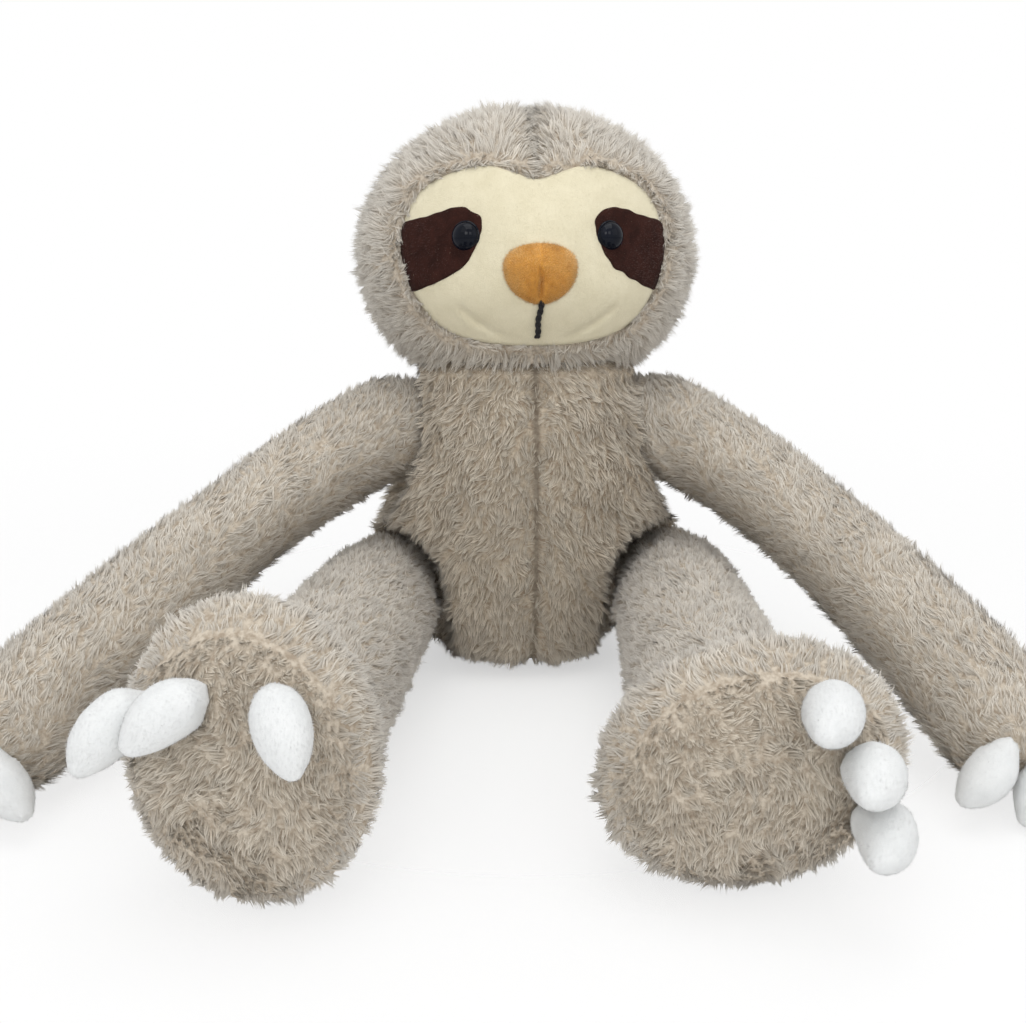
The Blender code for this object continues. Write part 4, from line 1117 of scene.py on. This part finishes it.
FINISHES = (
    ([cream_face], velvet("cream_velvet", (0.67, 0.61, 0.435), (0.76, 0.70, 0.52), 0.0005, 0.009, 0.12)),
    (patches, velvet("brown_velvet", (0.016, 0.0052, 0.0036), (0.042, 0.0135, 0.0095), 0.0005, 0.005, 0.0)),
    ([nose], velvet("caramel_velvet", (0.46, 0.195, 0.034), (0.70, 0.345, 0.068), 0.0006, 0.003, 0.1)),
    (claws.values(), velvet("white_fleece", (0.72, 0.735, 0.735), (0.79, 0.80, 0.795), 0.0006, 0.010, 0.12,
                            strength=0.18)),
    (eyes, two_tone("eye_plastic", 0.06, 0.012, (0.002, 0.003, 0.006), (0.005, 0.007, 0.014), gloss=0.13)),
    ([mouth], two_tone("mouth_thread", 0.7, 0.0006, (0.006, 0.006, 0.008), (0.022, 0.020, 0.022), gloss=0.3,
                       bumps=0.0003, strength=0.5)),
    ([nodes[n] for n in nodes_with("eye_washer")],
     two_tone("washer_plastic", 0.45, 0.004, (0.76, 0.76, 0.74), (0.84, 0.84, 0.82), bumps=0.0008)))
for things, finish in FINISHES:
    for thing in things:
        wear(thing, finish)
print(len(FINISHES), "finishes")

# %% Short nap on the face, the nose and the claws
NAP_LOCK = 0.0014
caramel_pile = pile_finish("caramel_nose_pile", (0.46, 0.20, 0.04), (0.74, 0.38, 0.09), (0.92, 0.60, 0.25))
cream_pile = pile_finish("cream_face_pile", (0.64, 0.58, 0.41), (0.78, 0.715, 0.53), (0.88, 0.82, 0.64))
brown_pile = pile_finish("brown_patch_pile", (0.022, 0.007, 0.005), (0.050, 0.016, 0.011),
                         (0.105, 0.040, 0.028))
fleece_pile = pile_finish("fleece_pile", (0.62, 0.63, 0.63), (0.74, 0.75, 0.745), (0.82, 0.82, 0.815))


def grow_nap(finish, slot, *rest, **habits):
    """Fibres in their finish; the slot argument is not used."""
    nap = grow(*rest, **habits)
    wear(nap, finish)


root, normal = scatter(nose, 12, 91)
front = root[:, 1] < float(face_y(np.zeros(1), nose_middle[2:3])[0]) + 0.006
root, normal = root[front], normal[front]
flow = np.stack([np.sign(root[:, 0]), 0 * root[:, 0], 0.3 + 0 * root[:, 0]], axis=1)
grow_nap(caramel_pile, "caramel_nose", "nose_pile", "head", root, normal, flow, 0.0013, 1.0, 0.00007, 92,
         lock=0.0016, cling=0.35, swing=0.8)
for number, sheet in enumerate([cream_face] + patches):
    root, normal = scatter(sheet, 1.7, 60 + number)
    shown = normal[:, 1] < -0.15
    if sheet is cream_face:
        shown &= rim_share(root) < 0.97
    root, normal = root[shown], normal[shown]
    flow = np.stack([0.5 * root[:, 0] / 0.05, 0 * root[:, 0], -1 + 0 * root[:, 0]], axis=1)
    finish, slot = (cream_pile, "cream_face") if sheet is cream_face else (brown_pile, "brown_patch")
    grow_nap(finish, slot, sheet.name + "_nap", "head", root, normal, flow, 0.0011, 0.55, 0.00008,
             64 + number, lock=NAP_LOCK, cling=0.25, swing=0.6, tufts=0.0)
for number, (node, claw) in enumerate(claws.items()):
    root, normal = scatter(claw, 2.2, 95 + number)
    flow = np.tile((0.3, -0.2, -1.0), (len(root), 1)) + 0.8 * normal[:, [1, 2, 0]]
    body = LIMBS[node.split("_claw")[0]][0]
    grow_nap(fleece_pile, "white_fleece", node + "_fuzz", body, root, normal, flow, 0.0010, 0.8, 0.00007,
             120 + number, lock=NAP_LOCK, cling=0.3, swing=0.9)

# %% Fur on the torso and the hood
def under_the_face(points):
    """Roots that the cream panel covers."""
    return (points[:, 1] < 0) & (rim_share(points) < 0.94)


def hood_comb(points, normals):
    """The head's comb, but along the cream panel's rim the pile stands forwards and hides the seam."""
    rim = (np.exp(-((rim_share(points) - 0.98) / 0.05) ** 2) * (points[:, 1] < 0))[:, None]
    return head_comb(points, normals) * (1 - rim) + np.array((0, -1.5, 0.0)) * rim


torso_panels = [n for n in torso_nodes if "stuffing" not in n]
# The torso pile gets the strongest painted seam shade.
furnish("torso_bag", "torso", torso_panels, torso_neighbours, torso_comb, 0.0066, 0.60, 11, darker=0.7)
furnish("head_bag", "head", ["hood_left", "hood_right"], torso_nodes, hood_comb, 0.0075, 0.64, 21,
        finish=hood_pile, bare=under_the_face, swing=0.35, tufts=0.35)

# %% Fur on the arms and the legs
ON_SKIN = {"length": 0.0058, "lift": 0.42, "lock": 0.0026, "swing": 0.38, "cling": 0.6, "tufts": 0.45}
ON_SOLE = {"length": 0.0052, "lift": 0.70, "lock": 0.0025, "swing": 0.9, "cling": 0.75, "tufts": 0.6}


def halves(limb, joint):
    """Split a limb half way between its body end and its claws."""
    start, step, way = limb_line(limb, joint)
    reach = 0.5 * float(step @ way)
    return [(limb + "_upper", lambda p: (p - start) @ way < reach),
            (limb + "_lower", lambda p: (p - start) @ way >= reach)]


for number, (limb, (body, joint)) in enumerate(LIMBS.items()):
    skin, sole = limb + "_skin", limb + "_sole_panel"
    habits = {habit: {skin: ON_SKIN[habit], sole: ON_SOLE[habit]} for habit in ON_SKIN}
    furnish(limb + "_bag", body, [n for n in (skin, sole) if n in nodes], torso_nodes,
            {skin: limb_comb(limb, joint), sole: sole_comb}, seed=31 + 10 * number,
            finish={skin: limb_pile, sole: sole_pile}, parts={skin: halves(limb, joint)}, **habits)
